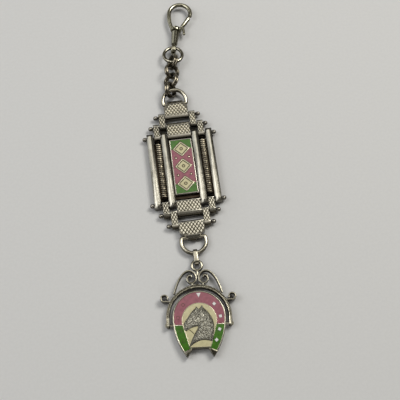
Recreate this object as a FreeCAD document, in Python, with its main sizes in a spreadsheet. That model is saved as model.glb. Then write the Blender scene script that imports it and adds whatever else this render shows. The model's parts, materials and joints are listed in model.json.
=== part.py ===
import FreeCAD, Part
import math
import os

import Sketcher
from FreeCAD import Placement, Rotation, Vector

# A gentleman's pocket watch chain (vest fob), laid out flat and face up.
#   X runs across the strap, +Y runs along it towards the watch clip, +Z is up.
#   The origin is the middle of the flat back of the centre panel.
# Along +Y: centre panel, three stepped hinge rows, D-ring, chain, jump ring, watch clip.
# Along -Y: the same hinge rows mirrored, D-ring, connecting link, pendant with its spinner.

ORIGIN = Vector(0, 0, 0)
X_AXIS = Vector(1, 0, 0)
Y_AXIS = Vector(0, 1, 0)
Z_AXIS = Vector(0, 0, 1)

SIZES = [
    # hinges of the stepped panel
    ("pin_height", 1.65, "hinge pins above the flat back"),
    ("barrel_radius", 1.6, "knuckle barrel"),
    ("plate_top", 3.6, "top face of every plate above the flat back"),
    ("hinge_inner", 15.55, "inner hinge from the middle, along the strap"),
    ("hinge_middle", 20.4, "middle hinge"),
    ("hinge_outer", 25.4, "outer hinge"),
    ("ring_bar", 31.2, "bar of the D-ring"),
    ("pin_radius", 0.6, "hinge pin"),
    ("running_gap", 0.06, "radial clearance of a turning hinge"),
    ("ball_radius", 0.95, "ball end of a hinge pin"),
    ("inner_pin_ball", 15.1, "ball centre of the inner hinge pin, from the middle"),
    ("middle_pin_ball", 12.05, "ball centre of the middle hinge pin"),
    ("outer_pin_ball", 9.38, "ball centre of the outer hinge pin"),
    # plates across the strap
    ("centre_width", 10.0, "knurled centre plate"),
    ("end_width", 10.3, "knurled end plate"),
    ("inner_start", 5.3, "inner rails and legs, from the middle"),
    ("inner_width", 2.7, "inner rails and legs"),
    ("block_start", 8.3, "spring blocks, from the middle"),
    ("block_width", 2.55, "spring blocks"),
    ("outer_start", 11.35, "outer rails, from the middle"),
    ("outer_width", 2.75, "outer rails"),
    ("plate_bevel", 0.28, "bevel round a plate's top"),
    ("upper_corner", 1.4, "corner cut of the upper end plate, across the strap"),
    ("lower_corner", 2.3, "corner cut of the lower end plate"),
    ("corner_length", 2.0, "both corner cuts, along the strap"),
    ("end_slope", 0.7, "slope at each end of a plate, along the strap"),
    ("rail_bevel", 0.8, "bevel along a rail's top"),
    # centre panel
    ("back_thickness", 0.5, "back plate"),
    ("back_width", 27.6, "back plate"),
    ("panel_length", 26.7, "back plate, rods and coils"),
    ("plaque_length", 25.5, "plaque frame"),
    ("plaque_shift", 0.6, "middle of the plaque from the panel's middle"),
    ("plaque_width", 9.6, "plaque frame"),
    ("plaque_top", 3.0, "plaque frame above the flat back"),
    ("plaque_rim", 0.45, "plaque frame's visible rim"),
    ("plaque_floor", 2.1, "underside of the plaque's enamel"),
    ("enamel_top", 2.9, "plaque enamel above the flat back"),
    ("column_height", 1.95, "rods and coils above the flat back"),
    ("core_radius", 0.7, "rod inside a coil"),
    ("core_flange", 1.38, "flange at the end of that rod"),
    ("flange_length", 0.5, "length of that flange"),
    ("coil_radius", 1.06, "coil, to the middle of its wire"),
    ("coil_wire", 0.29, "radius of the coil's wire"),
    ("coil_pitch", 0.95, "one turn of the coil"),
    # rings and chain
    ("d_ring_radius", 5.08, "D-ring, to the middle of its wire"),
    ("d_ring_wire", 0.85, "radius of the D-ring's wire"),
    ("d_ring_centre", 1.8, "centre of the D-ring's curve from its bar"),
    ("d_ring_lift", 8.5, "rise of the upper D-ring, degrees"),
    ("link_radius", 3.15, "chain link, to the middle of its wire"),
    ("link_wire", 0.525, "radius of the chain link's wire"),
    ("link_offset", 0.55, "each link of a pair from the pair's middle"),
    ("link_reach", 3.1, "pair's centre to the hinge with the next pair"),
    ("link_return", 1.72, "that hinge to the next pair's centre"),
    ("link_height", 3.1, "chain's centre line above the flat back"),
    ("chain_turn", -10.5, "chain's direction from +Y, degrees"),
    ("jump_radius", 4.12, "jump ring, to the middle of its wire"),
    ("jump_wire", 0.75, "radius of the jump ring's wire"),
    # watch clip, along its own axis
    ("clip_turn", -12.0, "clip's direction from +Y, degrees"),
    ("clip_height", 2.5, "clip's axis above the flat back"),
    ("shank_start", 3.15, "end of the shank next to the swivel"),
    ("shank_end", 10.5, "collar end of the shank"),
    ("shank_small", 1.4, "shank radius at the swivel"),
    ("shank_large", 1.85, "shank radius at the collar"),
    ("collar_radius", 2.45, "collar"),
    ("collar_length", 1.9, "collar"),
    ("bow_radius", 4.9, "bow, to the middle of its wire"),
    ("bow_wire", 0.95, "radius of the bow's wire"),
    ("stem_radius", 0.5, "swivel stem"),
    ("rivet_radius", 0.8, "rivet head of the swivel stem"),
    ("gate_pin", 0.32, "radius of the gate's pin"),
    # connecting link and pendant
    ("link_inside", 0.98, "inside radius of the connecting link's ends"),
    ("link_outside", 1.62, "outside radius of those ends"),
    ("link_length", 3.57, "connecting link between its end centres"),
    ("link_width", 1.8, "connecting link's band"),
    ("pendant_turn", -5.0, "pendant's direction from the strap, degrees"),
    ("loop_radius", 2.0, "pendant loop, to the middle of its wire"),
    ("loop_wire", 0.6, "radius of the loop's wire"),
    ("arch_inner", 11.5, "inside radius of the pendant's arch"),
    ("arch_outer", 12.9, "outside radius of the arch"),
    ("arch_centre", 20.9, "centre of the arch below the loop"),
    ("arch_depth", 3.0, "arch, scrolls' frame height"),
    ("pivot_below", 23.8, "spinner's pivots below the loop"),
    ("pivot_radius", 0.5, "pivot pin"),
    ("medal_radius", 10.4, "horseshoe medallion's round top"),
    ("medal_centre", 21.0, "centre of that round top below the loop"),
    ("medal_side", 25.5, "radius of the medallion's sides"),
    ("medal_tip", 36.6, "heel tips below the loop"),
    ("medal_notch", 33.4, "straight notch between the heels"),
    ("medal_thickness", 2.6, "medallion"),
    ("medal_rim", 0.55, "medallion's metal rim"),
    ("enamel_depth", 0.4, "recess for the enamel on each face"),
    ("enamel_thickness", 0.35, "enamel and back disc"),
    ("relief_thickness", 0.55, "horse head relief"),
]

doc = FreeCAD.newDocument("PocketWatchChain")
sheet = doc.addObject("Spreadsheet::Sheet", "Sizes")
for row, (alias, value, meaning) in enumerate(SIZES, start=1):
    sheet.set("A%d" % row, meaning)
    sheet.set("B%d" % row, str(value))
    sheet.setAlias("B%d" % row, alias)
doc.recompute()

pieces = []


def size(alias):
    """A driving dimension, read from the sheet."""
    return float(sheet.get(alias))


def keep(item, label, placement=None):
    """Name a finished sub-part and set where it sits."""
    item.Label = label
    if placement is not None:
        item.Placement = placement
    pieces.append(item)
    return item


def turned(position, degrees):
    """A placement turned about the vertical."""
    return Placement(position, Rotation(Z_AXIS, degrees))


# ---------------------------------------------------------------- drawing helpers

def origin_plane(body, role):
    return next(item for item in body.Origin.OriginFeatures if item.Role == role)


def sketch_on(body, name, role, curves):
    """A sketch on one of the body's origin planes, with the curves joined end to end."""
    sketch = body.newObject("Sketcher::SketchObject", name)
    sketch.AttachmentSupport = [(origin_plane(body, role), "")]
    sketch.MapMode = "FlatFace"
    for curve in curves:
        sketch.addGeometry(curve, False)
    return sketch


def line(first, second):
    return Part.LineSegment(Vector(*first), Vector(*second))


def arc(centre, radius, start, end):
    """A counter-clockwise arc between two angles in radians."""
    circle = Part.Circle(Vector(centre[0], centre[1], 0), Z_AXIS, radius)
    return Part.ArcOfCircle(circle, start, end)


def round_hole(centre, radius):
    return Part.Circle(Vector(centre[0], centre[1], 0), Z_AXIS, radius)


def pad(body, sketch, alias, scale=1.0):
    feature = body.newObject("PartDesign::Pad", sketch.Name + "Pad")
    feature.Profile = sketch
    feature.setExpression("Length", "Sizes.%s * %g" % (alias, scale))
    doc.recompute()
    return feature


def pocket(body, sketch, depth, reverse):
    """Cut the sketch into the body, and stop if it removed nothing."""
    before = body.Shape.Volume
    feature = body.newObject("PartDesign::Pocket", sketch.Name + "Pocket")
    feature.Profile = sketch
    feature.Length = depth
    feature.Reversed = reverse
    doc.recompute()
    if not body.Shape.Volume < before - 1e-3:
        raise RuntimeError("%s cut nothing" % feature.Name)
    return feature


def bevel(body, base, alias, choose):
    """Chamfer the edges of the base feature that the test picks."""
    names = ["Edge%d" % (index + 1) for index, edge in enumerate(base.Shape.Edges) if choose(edge)]
    feature = body.newObject("PartDesign::Chamfer", base.Name + "Bevel")
    feature.Base = (base, names)
    feature.setExpression("Size", "Sizes.%s" % alias)
    doc.recompute()
    return feature


def at_height(edge, height):
    return all(abs(vertex.Z - height) < 1e-6 for vertex in edge.Vertexes)


def along(edge, length):
    return edge.Length > length


def across_strap(edge):
    return abs(edge.Vertexes[0].Y - edge.Vertexes[-1].Y) < 1e-6


def side_rims(shape):
    """Names of the edges that lie in a flat side of a band on edge."""
    names = []
    for index, edge in enumerate(shape.Edges, start=1):
        places = [vertex.X for vertex in edge.Vertexes]
        if max(places) - min(places) < 1e-6:
            names.append("Edge%d" % index)
    return names


# ---------------------------------------------------------------- hinged plates

class Hinge:
    """One knuckle of a plate: where its pin is, its bore, and how far the plate passes it."""

    def __init__(self, place, bore, overhang):
        self.place = place
        self.bore = bore
        self.overhang = overhang


def plate_outline(near, far, underside):
    """Side view of a plate that lies on two barrels, with both bores."""
    radius = size("barrel_radius")
    height = size("pin_height")
    top = size("plate_top")
    slope = size("end_slope")
    drop = height - underside
    inset = math.sqrt(radius ** 2 - drop ** 2) if drop < radius else 0.0
    near_rise = math.sqrt(radius ** 2 - near.overhang ** 2)
    far_rise = math.sqrt(radius ** 2 - far.overhang ** 2)
    floor = height - min(drop, radius)
    near_end = near.place - near.overhang
    far_end = far.place + far.overhang
    far_start = math.atan2(floor - height, -inset)
    near_stop = math.atan2(floor - height, inset) + 2 * math.pi
    return [
        line((near.place + inset, floor), (far.place - inset, floor)),
        arc((far.place, height), radius, far_start, math.atan2(far_rise, far.overhang)),
        line((far_end, height + far_rise), (far_end - slope, top)),
        line((far_end - slope, top), (near_end + slope, top)),
        line((near_end + slope, top), (near_end, height + near_rise)),
        arc((near.place, height), radius, math.atan2(near_rise, -near.overhang), near_stop),
        round_hole((near.place, height), near.bore),
        round_hole((far.place, height), far.bore),
    ]


def hinged_plate(label, start, width_alias, near, far, lower, underside=0.0, long_bevel=None):
    """A plate across two hinge pins; the lower half of the strap is the upper one turned round."""
    body = doc.addObject("PartDesign::Body", label)
    sketch = sketch_on(body, label + "_side", "YZ_Plane", plate_outline(near, far, underside))
    feature = pad(body, sketch, width_alias)
    top = size("plate_top")
    if long_bevel:
        feature = bevel(body, feature, long_bevel,
                        lambda edge: at_height(edge, top) and along(edge, size("panel_length")))
        feature = bevel(body, feature, "plate_bevel",
                        lambda edge: at_height(edge, top) and not along(edge, size("panel_length")))
    else:
        feature = bevel(body, feature, "plate_bevel", lambda edge: at_height(edge, top))
    body.Tip = feature
    if lower:
        return keep(body, label, turned(Vector(start + size(width_alias), 0, 0), 180))
    return keep(body, label, turned(Vector(start, 0, 0), 0))


def both_sides(start, width):
    """Left and right starting lines of a plate that is mirrored across the strap."""
    return (("right", start), ("left", -start - width))


def end_plate(label, near, far, lower):
    """The knurled end plate: its far corners are cut back beside the D-ring's barrel."""
    width = size("end_width")
    body = doc.addObject("PartDesign::Body", label)
    sketch = sketch_on(body, label + "_side", "YZ_Plane", plate_outline(near, far, 0.0))
    pad(body, sketch, "end_width")
    corner = size("lower_corner" if lower else "upper_corner")
    neck = size("ring_bar")
    shoulder = neck - size("corner_length")
    beyond = neck + 3.0
    outlines = []
    for edge_x, inner_x in ((-1.0, corner), (width + 1.0, width - corner)):
        side_x = 0.0 if edge_x < 0 else width
        points = [(edge_x, shoulder), (side_x, shoulder), (inner_x, neck), (inner_x, beyond),
                  (edge_x, beyond)]
        outlines += [line(points[index - 1], points[index]) for index in range(len(points))]
    corners = sketch_on(body, label + "_corners", "XY_Plane", outlines)
    feature = pocket(body, corners, 2 * size("plate_top"), True)
    top = size("plate_top")
    feature = bevel(body, feature, "plate_bevel",
                    lambda edge: at_height(edge, top) and across_strap(edge))
    body.Tip = feature
    placement = turned(Vector(width / 2, 0, 0), 180) if lower else turned(Vector(-width / 2, 0, 0), 0)
    return keep(body, label, placement)


def hinge_pin(label, y, ball_alias):
    """A pin across the strap with a ball on each end."""
    shaft = doc.addObject("Part::Cylinder", label + "_shaft")
    shaft.setExpression("Radius", "Sizes.pin_radius")
    shaft.setExpression("Height", "Sizes.%s * 2" % ball_alias)
    shaft.Placement = Placement(Vector(-size(ball_alias), 0, 0), Rotation(Y_AXIS, 90))
    balls = []
    for side in (-1, 1):
        ball = doc.addObject("Part::Sphere", label + "_ball")
        ball.setExpression("Radius", "Sizes.ball_radius")
        ball.Placement = Placement(Vector(side * size(ball_alias), 0, 0), Rotation())
        balls.append(ball)
    pin = doc.addObject("Part::MultiFuse", label)
    pin.Shapes = [shaft] + balls
    return keep(pin, label, Placement(Vector(0, y, size("pin_height")), Rotation()))


def stepped_rows():
    """The three hinge rows at each end of the centre panel, with their pins."""
    tight = size("pin_radius")
    free = tight + size("running_gap")
    ring_bore = size("d_ring_wire") + size("running_gap")
    inner = size("hinge_inner")
    middle = size("hinge_middle")
    outer = size("hinge_outer")
    first_row = (Hinge(inner, free, 1.0), Hinge(middle, tight, 0.6))
    leg = (Hinge(middle, free, 1.4), Hinge(outer, tight, 0.9))
    end = (Hinge(outer, free, 1.2), Hinge(size("ring_bar"), ring_bore, 0.2))
    for end_name, lower in (("upper", False), ("lower", True)):
        hinged_plate(end_name + "_centre_plate", -size("centre_width") / 2, "centre_width",
                     first_row[0], first_row[1], lower)
        for side, start in both_sides(size("block_start"), size("block_width")):
            hinged_plate("%s_%s_spring_block" % (end_name, side), start, "block_width",
                         first_row[0], first_row[1], lower)
        for side, start in both_sides(size("inner_start"), size("inner_width")):
            hinged_plate("%s_%s_leg" % (end_name, side), start, "inner_width",
                         leg[0], leg[1], lower)
        end_plate(end_name + "_end_plate", end[0], end[1], lower)
        sign = -1 if lower else 1
        hinge_pin(end_name + "_inner_pin", sign * inner, "inner_pin_ball")
        hinge_pin(end_name + "_middle_pin", sign * middle, "middle_pin_ball")
        hinge_pin(end_name + "_outer_pin", sign * outer, "outer_pin_ball")


# ---------------------------------------------------------------- centre panel

def box(label, width_formula, length_formula, height_formula, centre_x, bottom):
    """A box centred on the strap at centre_x, sized by formulas on the sheet."""
    item = doc.addObject("Part::Box", label)
    item.setExpression("Length", width_formula)
    item.setExpression("Width", length_formula)
    item.setExpression("Height", height_formula)
    doc.recompute()
    corner = Vector(centre_x - item.Length.Value / 2, -item.Width.Value / 2, bottom)
    item.Placement = Placement(corner, Rotation())
    return item


def plaque():
    """The frame and its enamel panel."""
    outer = box("plaque_block", "Sizes.plaque_width", "Sizes.plaque_length",
                "Sizes.plaque_top - Sizes.back_thickness", 0, size("back_thickness"))
    inner = box("plaque_recess", "Sizes.plaque_width - 2 * Sizes.plaque_rim",
                "Sizes.plaque_length - 2 * Sizes.plaque_rim", "Sizes.plaque_top", 0,
                size("plaque_floor"))
    frame = doc.addObject("Part::Cut", "plaque_frame")
    frame.Base = outer
    frame.Tool = inner
    keep(frame, "plaque_frame")
    enamel = box("plaque_enamel", "Sizes.plaque_width - 2 * Sizes.plaque_rim",
                 "Sizes.plaque_length - 2 * Sizes.plaque_rim",
                 "Sizes.enamel_top - Sizes.plaque_floor", 0, size("plaque_floor"))
    for piece in (outer, inner, enamel):
        piece.Placement.move(Vector(0, size("plaque_shift"), 0))
    keep(enamel, "plaque_enamel")


RAIL_OVERHANG = 0.15
COIL_GAP = 0.03


def rails():
    """Four bevelled rails that run from one inner hinge to the other."""
    tight = size("pin_radius")
    near = Hinge(-size("hinge_inner"), tight, RAIL_OVERHANG)
    far = Hinge(size("hinge_inner"), tight, RAIL_OVERHANG)
    for name, start, width in (("inner", "inner_start", "inner_width"),
                               ("outer", "outer_start", "outer_width")):
        for side, place in both_sides(size(start), size(width)):
            hinged_plate("%s_%s_rail" % (side, name), place, width, near, far, False,
                         size("back_thickness"), "rail_bevel")


def spring_columns():
    """A flanged rod and the coil wound on it, between the rails on each side."""
    half = size("panel_length") / 2
    flange = size("flange_length")
    rod_radius = size("core_radius")
    flange_radius = size("core_flange")
    coil_radius = size("coil_radius")
    wire_radius = size("coil_wire")
    height = size("column_height")
    coil_end = half - flange - wire_radius - COIL_GAP
    for side, sign in (("left", -1), ("right", 1)):
        x = sign * (size("block_start") + size("block_width") / 2)
        start = Vector(x, -half, height)
        rod = Part.makeCylinder(rod_radius, 2 * half, start, Y_AXIS)
        low_flange = Part.makeCylinder(flange_radius, flange, start, Y_AXIS)
        high_start = Vector(x, half - flange, height)
        high_flange = Part.makeCylinder(flange_radius, flange, high_start, Y_AXIS)
        core = doc.addObject("Part::Feature", side + "_coil_rod")
        core.Shape = rod.fuse([low_flange, high_flange])
        keep(core, side + "_coil_rod")
        length = 2 * coil_end
        path = Part.Wire(Part.makeHelix(size("coil_pitch"), length, coil_radius).Edges)
        section = Part.Wire(Part.Circle(Vector(coil_radius, 0, 0), Y_AXIS, wire_radius).toShape())
        coil = path.makePipeShell([section], True, True)
        spring = doc.addObject("Part::Feature", side + "_coil_spring")
        spring.Shape = coil
        keep(spring, side + "_coil_spring",
             Placement(Vector(x, coil_end, height), Rotation(X_AXIS, 90)))


def centre_panel():
    back = box("back_plate", "Sizes.back_width", "Sizes.panel_length", "Sizes.back_thickness", 0, 0)
    keep(back, "back_plate")
    plaque()
    rails()
    spring_columns()


# ---------------------------------------------------------------- rings and chain

def d_ring(label, placement):
    """A round wire ring closed by a straight bar, which lies on the local X axis."""
    radius = size("d_ring_radius")
    wire = size("d_ring_wire")
    rise = size("d_ring_centre")
    half_bar = math.sqrt(radius ** 2 - rise ** 2)
    dip = math.degrees(math.asin(rise / radius))
    curve = Part.makeTorus(radius, wire, ORIGIN, Z_AXIS, -180, 180, 180 + 2 * dip)
    curve.Placement = Placement(Vector(0, rise, 0), Rotation(Z_AXIS, -dip))
    bar = Part.makeCylinder(wire, 2 * half_bar, Vector(-half_bar, 0, 0), X_AXIS)
    corners = [Part.makeSphere(wire, Vector(side * half_bar, 0, 0)) for side in (-1, 1)]
    ring = doc.addObject("Part::Feature", label)
    ring.Shape = curve.fuse([bar] + corners).removeSplitter()
    return keep(ring, label, placement)


def wire_ring(label, radius_alias, wire_alias, placement):
    ring = doc.addObject("Part::Torus", label)
    ring.setExpression("Radius1", "Sizes.%s" % radius_alias)
    ring.setExpression("Radius2", "Sizes.%s" % wire_alias)
    return keep(ring, label, placement)


CHAIN_START = Vector(-1.2, 37.9, 0)
LINK_ROLLS = (60, -40, 40, -60)
JUMP_CENTRE = Vector(2.1, 55.86, 3.1)
JUMP_TILT = -8.0


def chain():
    """Pairs of round links, each pair rolled nearly a quarter turn from the one before."""
    lengthwise = Rotation(Z_AXIS, size("chain_turn"))
    direction = lengthwise.multVec(Y_AXIS)
    pitch = size("link_reach") + size("link_return")
    start = CHAIN_START + Vector(0, 0, size("link_height"))
    for index, roll in enumerate(LINK_ROLLS):
        turn = lengthwise.multiply(Rotation(Y_AXIS, roll))
        normal = turn.multVec(Z_AXIS)
        centre = start + direction * (pitch * index)
        for letter, side in (("a", -1), ("b", 1)):
            place = centre + normal * (side * size("link_offset"))
            wire_ring("chain_link_%d%s" % (index + 1, letter), "link_radius", "link_wire",
                      Placement(place, turn))
    tilt = Rotation(Z_AXIS, size("clip_turn")).multiply(Rotation(X_AXIS, JUMP_TILT))
    wire_ring("jump_ring", "jump_radius", "jump_wire", Placement(JUMP_CENTRE, tilt))


def d_rings():
    bar = size("ring_bar")
    height = size("pin_height")
    d_ring("upper_d_ring", Placement(Vector(0, bar, height), Rotation(X_AXIS, size("d_ring_lift"))))
    d_ring("lower_d_ring", turned(Vector(0, -bar, height), 180))


# ---------------------------------------------------------------- watch clip

CLIP_CENTRE = Vector(2.63, 58.36, 0)
COLLAR_ROUND = 0.75
BOW_CENTRE = Vector(0.95, 20.5, 0)
BOW_TIP = math.radians(-14.0)
BOW_LEG_RADIUS = 17.9
BOW_FOOT = math.radians(-30.0)
STEM_LENGTH = 3.3
RIVET_LENGTH = 0.6
RIVET_ROOM = 1.0
RIVET_GAP = 0.1
GATE_PIVOT = Vector(1.85, 11.5, 0)
GATE_TIP = Vector(5.3, 18.2, 0)
GATE_ROD = 0.92
GATE_NECK = 2.1
GATE_EYE = 0.85
GATE_WEB = 0.62
ROD_OVERLAP = 0.5
THUMB_ALONG = 0.35
THUMB_ASIDE = 0.25
THUMB_END = Vector(3.95, 9.45, 0)
THUMB_RADIUS = 0.6
PIN_SHORT = 0.1
LUG_HALF = 0.55
SLOT_HALF = 0.62
SLOT_X = 0.75
SLOT_WIDTH = 2.4
SLOT_LENGTH = 2.9
SLOT_BELOW_COLLAR = 0.35
LEAF_ROOM_WIDTH = 0.5
LEAF_ROOM_LENGTH = 3.2
LEAF_ROOM_BELOW = 2.6
LEAF_THICKNESS = 0.2
LEAF_LENGTH = 2.4
LEAF_GAP = 0.02


def clip_placement():
    return turned(CLIP_CENTRE + Vector(0, 0, size("clip_height")), size("clip_turn"))


def clip_body():
    """Shank, collar and bow, with the swivel's bore and the gate's slot cut out."""
    start = size("shank_start")
    end = size("shank_end")
    shank = Part.makeCone(size("shank_small"), size("shank_large"), end - start,
                          Vector(0, start, 0), Y_AXIS)
    collar = Part.makeCylinder(size("collar_radius"), size("collar_length"),
                               Vector(0, end, 0), Y_AXIS)
    collar = collar.makeFillet(COLLAR_ROUND, [edge for edge in collar.Edges if edge.Closed])
    bow = size("bow_radius")
    wire = size("bow_wire")
    left_side = BOW_CENTRE - Vector(bow, 0, 0)
    leg_centre = left_side + Vector(BOW_LEG_RADIUS, 0, 0)

    def on_leg(angle):
        return leg_centre + Vector(-math.cos(angle), math.sin(angle), 0) * BOW_LEG_RADIUS

    leg_foot = on_leg(BOW_FOOT)
    tip = BOW_CENTRE + Vector(math.cos(BOW_TIP), math.sin(BOW_TIP), 0) * bow
    top = BOW_CENTRE + Vector(0, bow, 0)
    path = Part.Wire([Part.Arc(leg_foot, on_leg(BOW_FOOT / 2), left_side).toShape(),
                      Part.Arc(left_side, top, tip).toShape()])
    foot_direction = path.Edges[0].tangentAt(path.Edges[0].FirstParameter)
    section = Part.Wire(Part.Circle(leg_foot, foot_direction, wire).toShape())
    hook = path.makePipeShell([section], True, True)
    solid = shank.fuse([collar, hook]).removeSplitter()
    bore = size("stem_radius") + size("running_gap")
    stem_hole = Part.makeCylinder(bore, STEM_LENGTH + RIVET_GAP, Vector(0, start - RIVET_GAP, 0), Y_AXIS)
    rivet_room = Part.makeCylinder(size("rivet_radius") + RIVET_GAP, RIVET_ROOM,
                                   Vector(0, start + STEM_LENGTH - RIVET_GAP, 0), Y_AXIS)
    slot = Part.makeBox(SLOT_WIDTH, SLOT_LENGTH, 2 * SLOT_HALF,
                        Vector(SLOT_X, end - SLOT_BELOW_COLLAR, -SLOT_HALF))
    leaf_room = Part.makeBox(LEAF_ROOM_WIDTH, LEAF_ROOM_LENGTH, 2 * SLOT_HALF,
                             Vector(SLOT_X, end - LEAF_ROOM_BELOW, -SLOT_HALF))
    pin_hole = Part.makeCylinder(size("gate_pin"), 2 * size("collar_radius"),
                                 GATE_PIVOT - Vector(0, 0, size("collar_radius")), Z_AXIS)
    item = doc.addObject("Part::Feature", "clip_body")
    item.Shape = solid.cut([stem_hole, rivet_room, slot, leaf_room, pin_hole])
    keep(item, "clip_body", clip_placement())


def rounded_rod(first, last, radius):
    """A round rod between two points, with its ends rounded over."""
    rod = Part.makeCylinder(radius, (last - first).Length, first, last - first)
    return rod.makeFillet(0.8 * radius, [edge for edge in rod.Edges if edge.Closed])


def clip_gate():
    """The sprung gate: a rod, the flat lug that sits in the collar, and a thumb lug."""
    direction = (GATE_TIP - GATE_PIVOT).normalize()
    across = Vector(-direction.y, direction.x, 0)
    root = GATE_PIVOT + direction * GATE_NECK
    rod = rounded_rod(root - direction * ROD_OVERLAP, GATE_TIP, GATE_ROD)
    thumb = rounded_rod(root + direction * THUMB_ALONG - across * THUMB_ASIDE, THUMB_END, THUMB_RADIUS)
    thickness = 2 * LUG_HALF
    bottom = Vector(0, 0, -LUG_HALF)
    eye = Part.makeCylinder(GATE_EYE, thickness, GATE_PIVOT + bottom, Z_AXIS)
    side = across * GATE_WEB
    corners = [GATE_PIVOT + side, root + side, root - side, GATE_PIVOT - side]
    outline = Part.makePolygon([corner + bottom for corner in corners + corners[:1]])
    web = Part.Face(outline).extrude(Vector(0, 0, thickness))
    hole = Part.makeCylinder(size("gate_pin") + size("running_gap"), 2 * thickness,
                             GATE_PIVOT + bottom * 2, Z_AXIS)
    item = doc.addObject("Part::Feature", "clip_gate")
    item.Shape = eye.fuse(web).fuse(rod).fuse(thumb).cut(hole)
    keep(item, "clip_gate", clip_placement())


def clip_small_parts():
    """The gate's pin and its leaf spring inside the shank."""
    reach = math.sqrt(size("collar_radius") ** 2 - GATE_PIVOT.x ** 2) - PIN_SHORT
    pin = doc.addObject("Part::Cylinder", "clip_gate_pin")
    pin.setExpression("Radius", "Sizes.gate_pin")
    pin.Height = 2 * reach
    keep(pin, "clip_gate_pin", clip_placement().multiply(
        Placement(GATE_PIVOT - Vector(0, 0, reach), Rotation())))
    leaf = doc.addObject("Part::Box", "clip_gate_spring")
    leaf.Length = LEAF_THICKNESS
    leaf.Width = LEAF_LENGTH
    leaf.Height = 2 * LUG_HALF
    corner = Vector(SLOT_X + LEAF_GAP, size("shank_end") - LEAF_ROOM_BELOW + LEAF_GAP, -LUG_HALF)
    keep(leaf, "clip_gate_spring", clip_placement().multiply(Placement(corner, Rotation())))


EYE_INSIDE = 1.0
EYE_OUTSIDE = 1.75
EYE_WIDTH = 2.0
EYE_LOW = 0.3
EYE_HIGH = 1.3
EYE_ROUND = 0.3
NECK_RADIUS = 0.9
NECK_GAP = 0.06
NECK_OVERLAP = 0.3


def swivel_eye():
    """A loop on edge, with a neck and a riveted stem that turns inside the shank."""
    body = doc.addObject("PartDesign::Body", "swivel_eye")
    curves = []
    for radius in (EYE_OUTSIDE, EYE_INSIDE):
        curves += [line((EYE_HIGH, radius), (EYE_LOW, radius)),
                   arc((EYE_LOW, 0), radius, math.pi / 2, 3 * math.pi / 2),
                   line((EYE_LOW, -radius), (EYE_HIGH, -radius)),
                   arc((EYE_HIGH, 0), radius, -math.pi / 2, math.pi / 2)]
    sketch = sketch_on(body, "swivel_eye_side", "YZ_Plane", curves)
    loop = body.newObject("PartDesign::Pad", "swivel_eye_loop")
    loop.Profile = sketch
    loop.Length = EYE_WIDTH
    doc.recompute()
    fillet = body.newObject("PartDesign::Fillet", "swivel_eye_round")
    fillet.Base = (loop, side_rims(loop.Shape))
    fillet.Radius = EYE_ROUND
    doc.recompute()
    neck_start = EYE_HIGH + EYE_OUTSIDE - NECK_OVERLAP
    start = size("shank_start")
    rivet_start = start + STEM_LENGTH
    rivet_end = rivet_start + RIVET_LENGTH
    stem = [(0, neck_start), (NECK_RADIUS, neck_start), (NECK_RADIUS, start - NECK_GAP),
            (size("stem_radius"), start - NECK_GAP), (size("stem_radius"), rivet_start),
            (size("rivet_radius"), rivet_start), (size("rivet_radius"), rivet_end), (0, rivet_end)]
    profile = [line(stem[index - 1], stem[index]) for index in range(len(stem))]
    turning = sketch_on(body, "swivel_stem_half", "XY_Plane", profile)
    turning.AttachmentOffset = Placement(Vector(EYE_WIDTH / 2, 0, 0), Rotation())
    stem_feature = body.newObject("PartDesign::Revolution", "swivel_stem")
    stem_feature.Profile = turning
    stem_feature.ReferenceAxis = (turning, ["V_Axis"])
    stem_feature.Angle = 360
    doc.recompute()
    body.Tip = stem_feature
    middle = Placement(Vector(-EYE_WIDTH / 2, 0, 0), Rotation())
    keep(body, "swivel_eye", clip_placement().multiply(middle))


# ---------------------------------------------------------------- connecting link and pendant

LINK_ROUND = 0.2
PENDANT_X = -0.1
PENDANT_Y = -43.44
FOOT_WIDTH = 0.66
FOOT_LENGTH = 2.6
FOOT_HEIGHT = 1.2


def connecting_link():
    """A flat-band oblong link on edge between the lower D-ring and the pendant's loop."""
    top = -size("ring_bar") - size("d_ring_centre") - size("d_ring_radius")
    bottom = top - size("link_length")
    height = size("pin_height")
    body = doc.addObject("PartDesign::Body", "connecting_link")
    curves = []
    for radius in (size("link_outside"), size("link_inside")):
        curves += [line((top, height + radius), (bottom, height + radius)),
                   arc((bottom, height), radius, math.pi / 2, 3 * math.pi / 2),
                   line((bottom, height - radius), (top, height - radius)),
                   arc((top, height), radius, -math.pi / 2, math.pi / 2)]
    sketch = sketch_on(body, "connecting_link_side", "YZ_Plane", curves)
    band = pad(body, sketch, "link_width")
    fillet = body.newObject("PartDesign::Fillet", "connecting_link_round")
    fillet.Base = (band, side_rims(band.Shape))
    fillet.Radius = LINK_ROUND
    doc.recompute()
    body.Tip = fillet
    keep(body, "connecting_link", turned(Vector(-size("link_width") / 2, 0, 0), 0))


def pendant_placement():
    return turned(Vector(PENDANT_X, PENDANT_Y, size("pin_height")), size("pendant_turn"))


def mirrored(point, sign):
    return Vector(sign * point[0], point[1], 0)


def arch_disc():
    """Everything inside the arch's outer curve, for trimming what is soldered to it."""
    depth = 4 * size("arch_depth")
    return Part.makeCylinder(size("arch_outer"), depth,
                             Vector(0, -size("arch_centre"), -depth / 2), Z_AXIS)


def pendant_loop():
    """The hanging loop and the foot that it is soldered to the scrolls by."""
    ring = Part.makeTorus(size("loop_radius"), size("loop_wire"))
    corner = Vector(-FOOT_WIDTH / 2, -size("loop_radius") - FOOT_LENGTH, -FOOT_HEIGHT / 2)
    foot = Part.makeBox(FOOT_WIDTH, FOOT_LENGTH, FOOT_HEIGHT, corner)
    item = doc.addObject("Part::Feature", "pendant_loop")
    item.Shape = ring.fuse(foot).removeSplitter()
    keep(item, "pendant_loop", pendant_placement())


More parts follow.
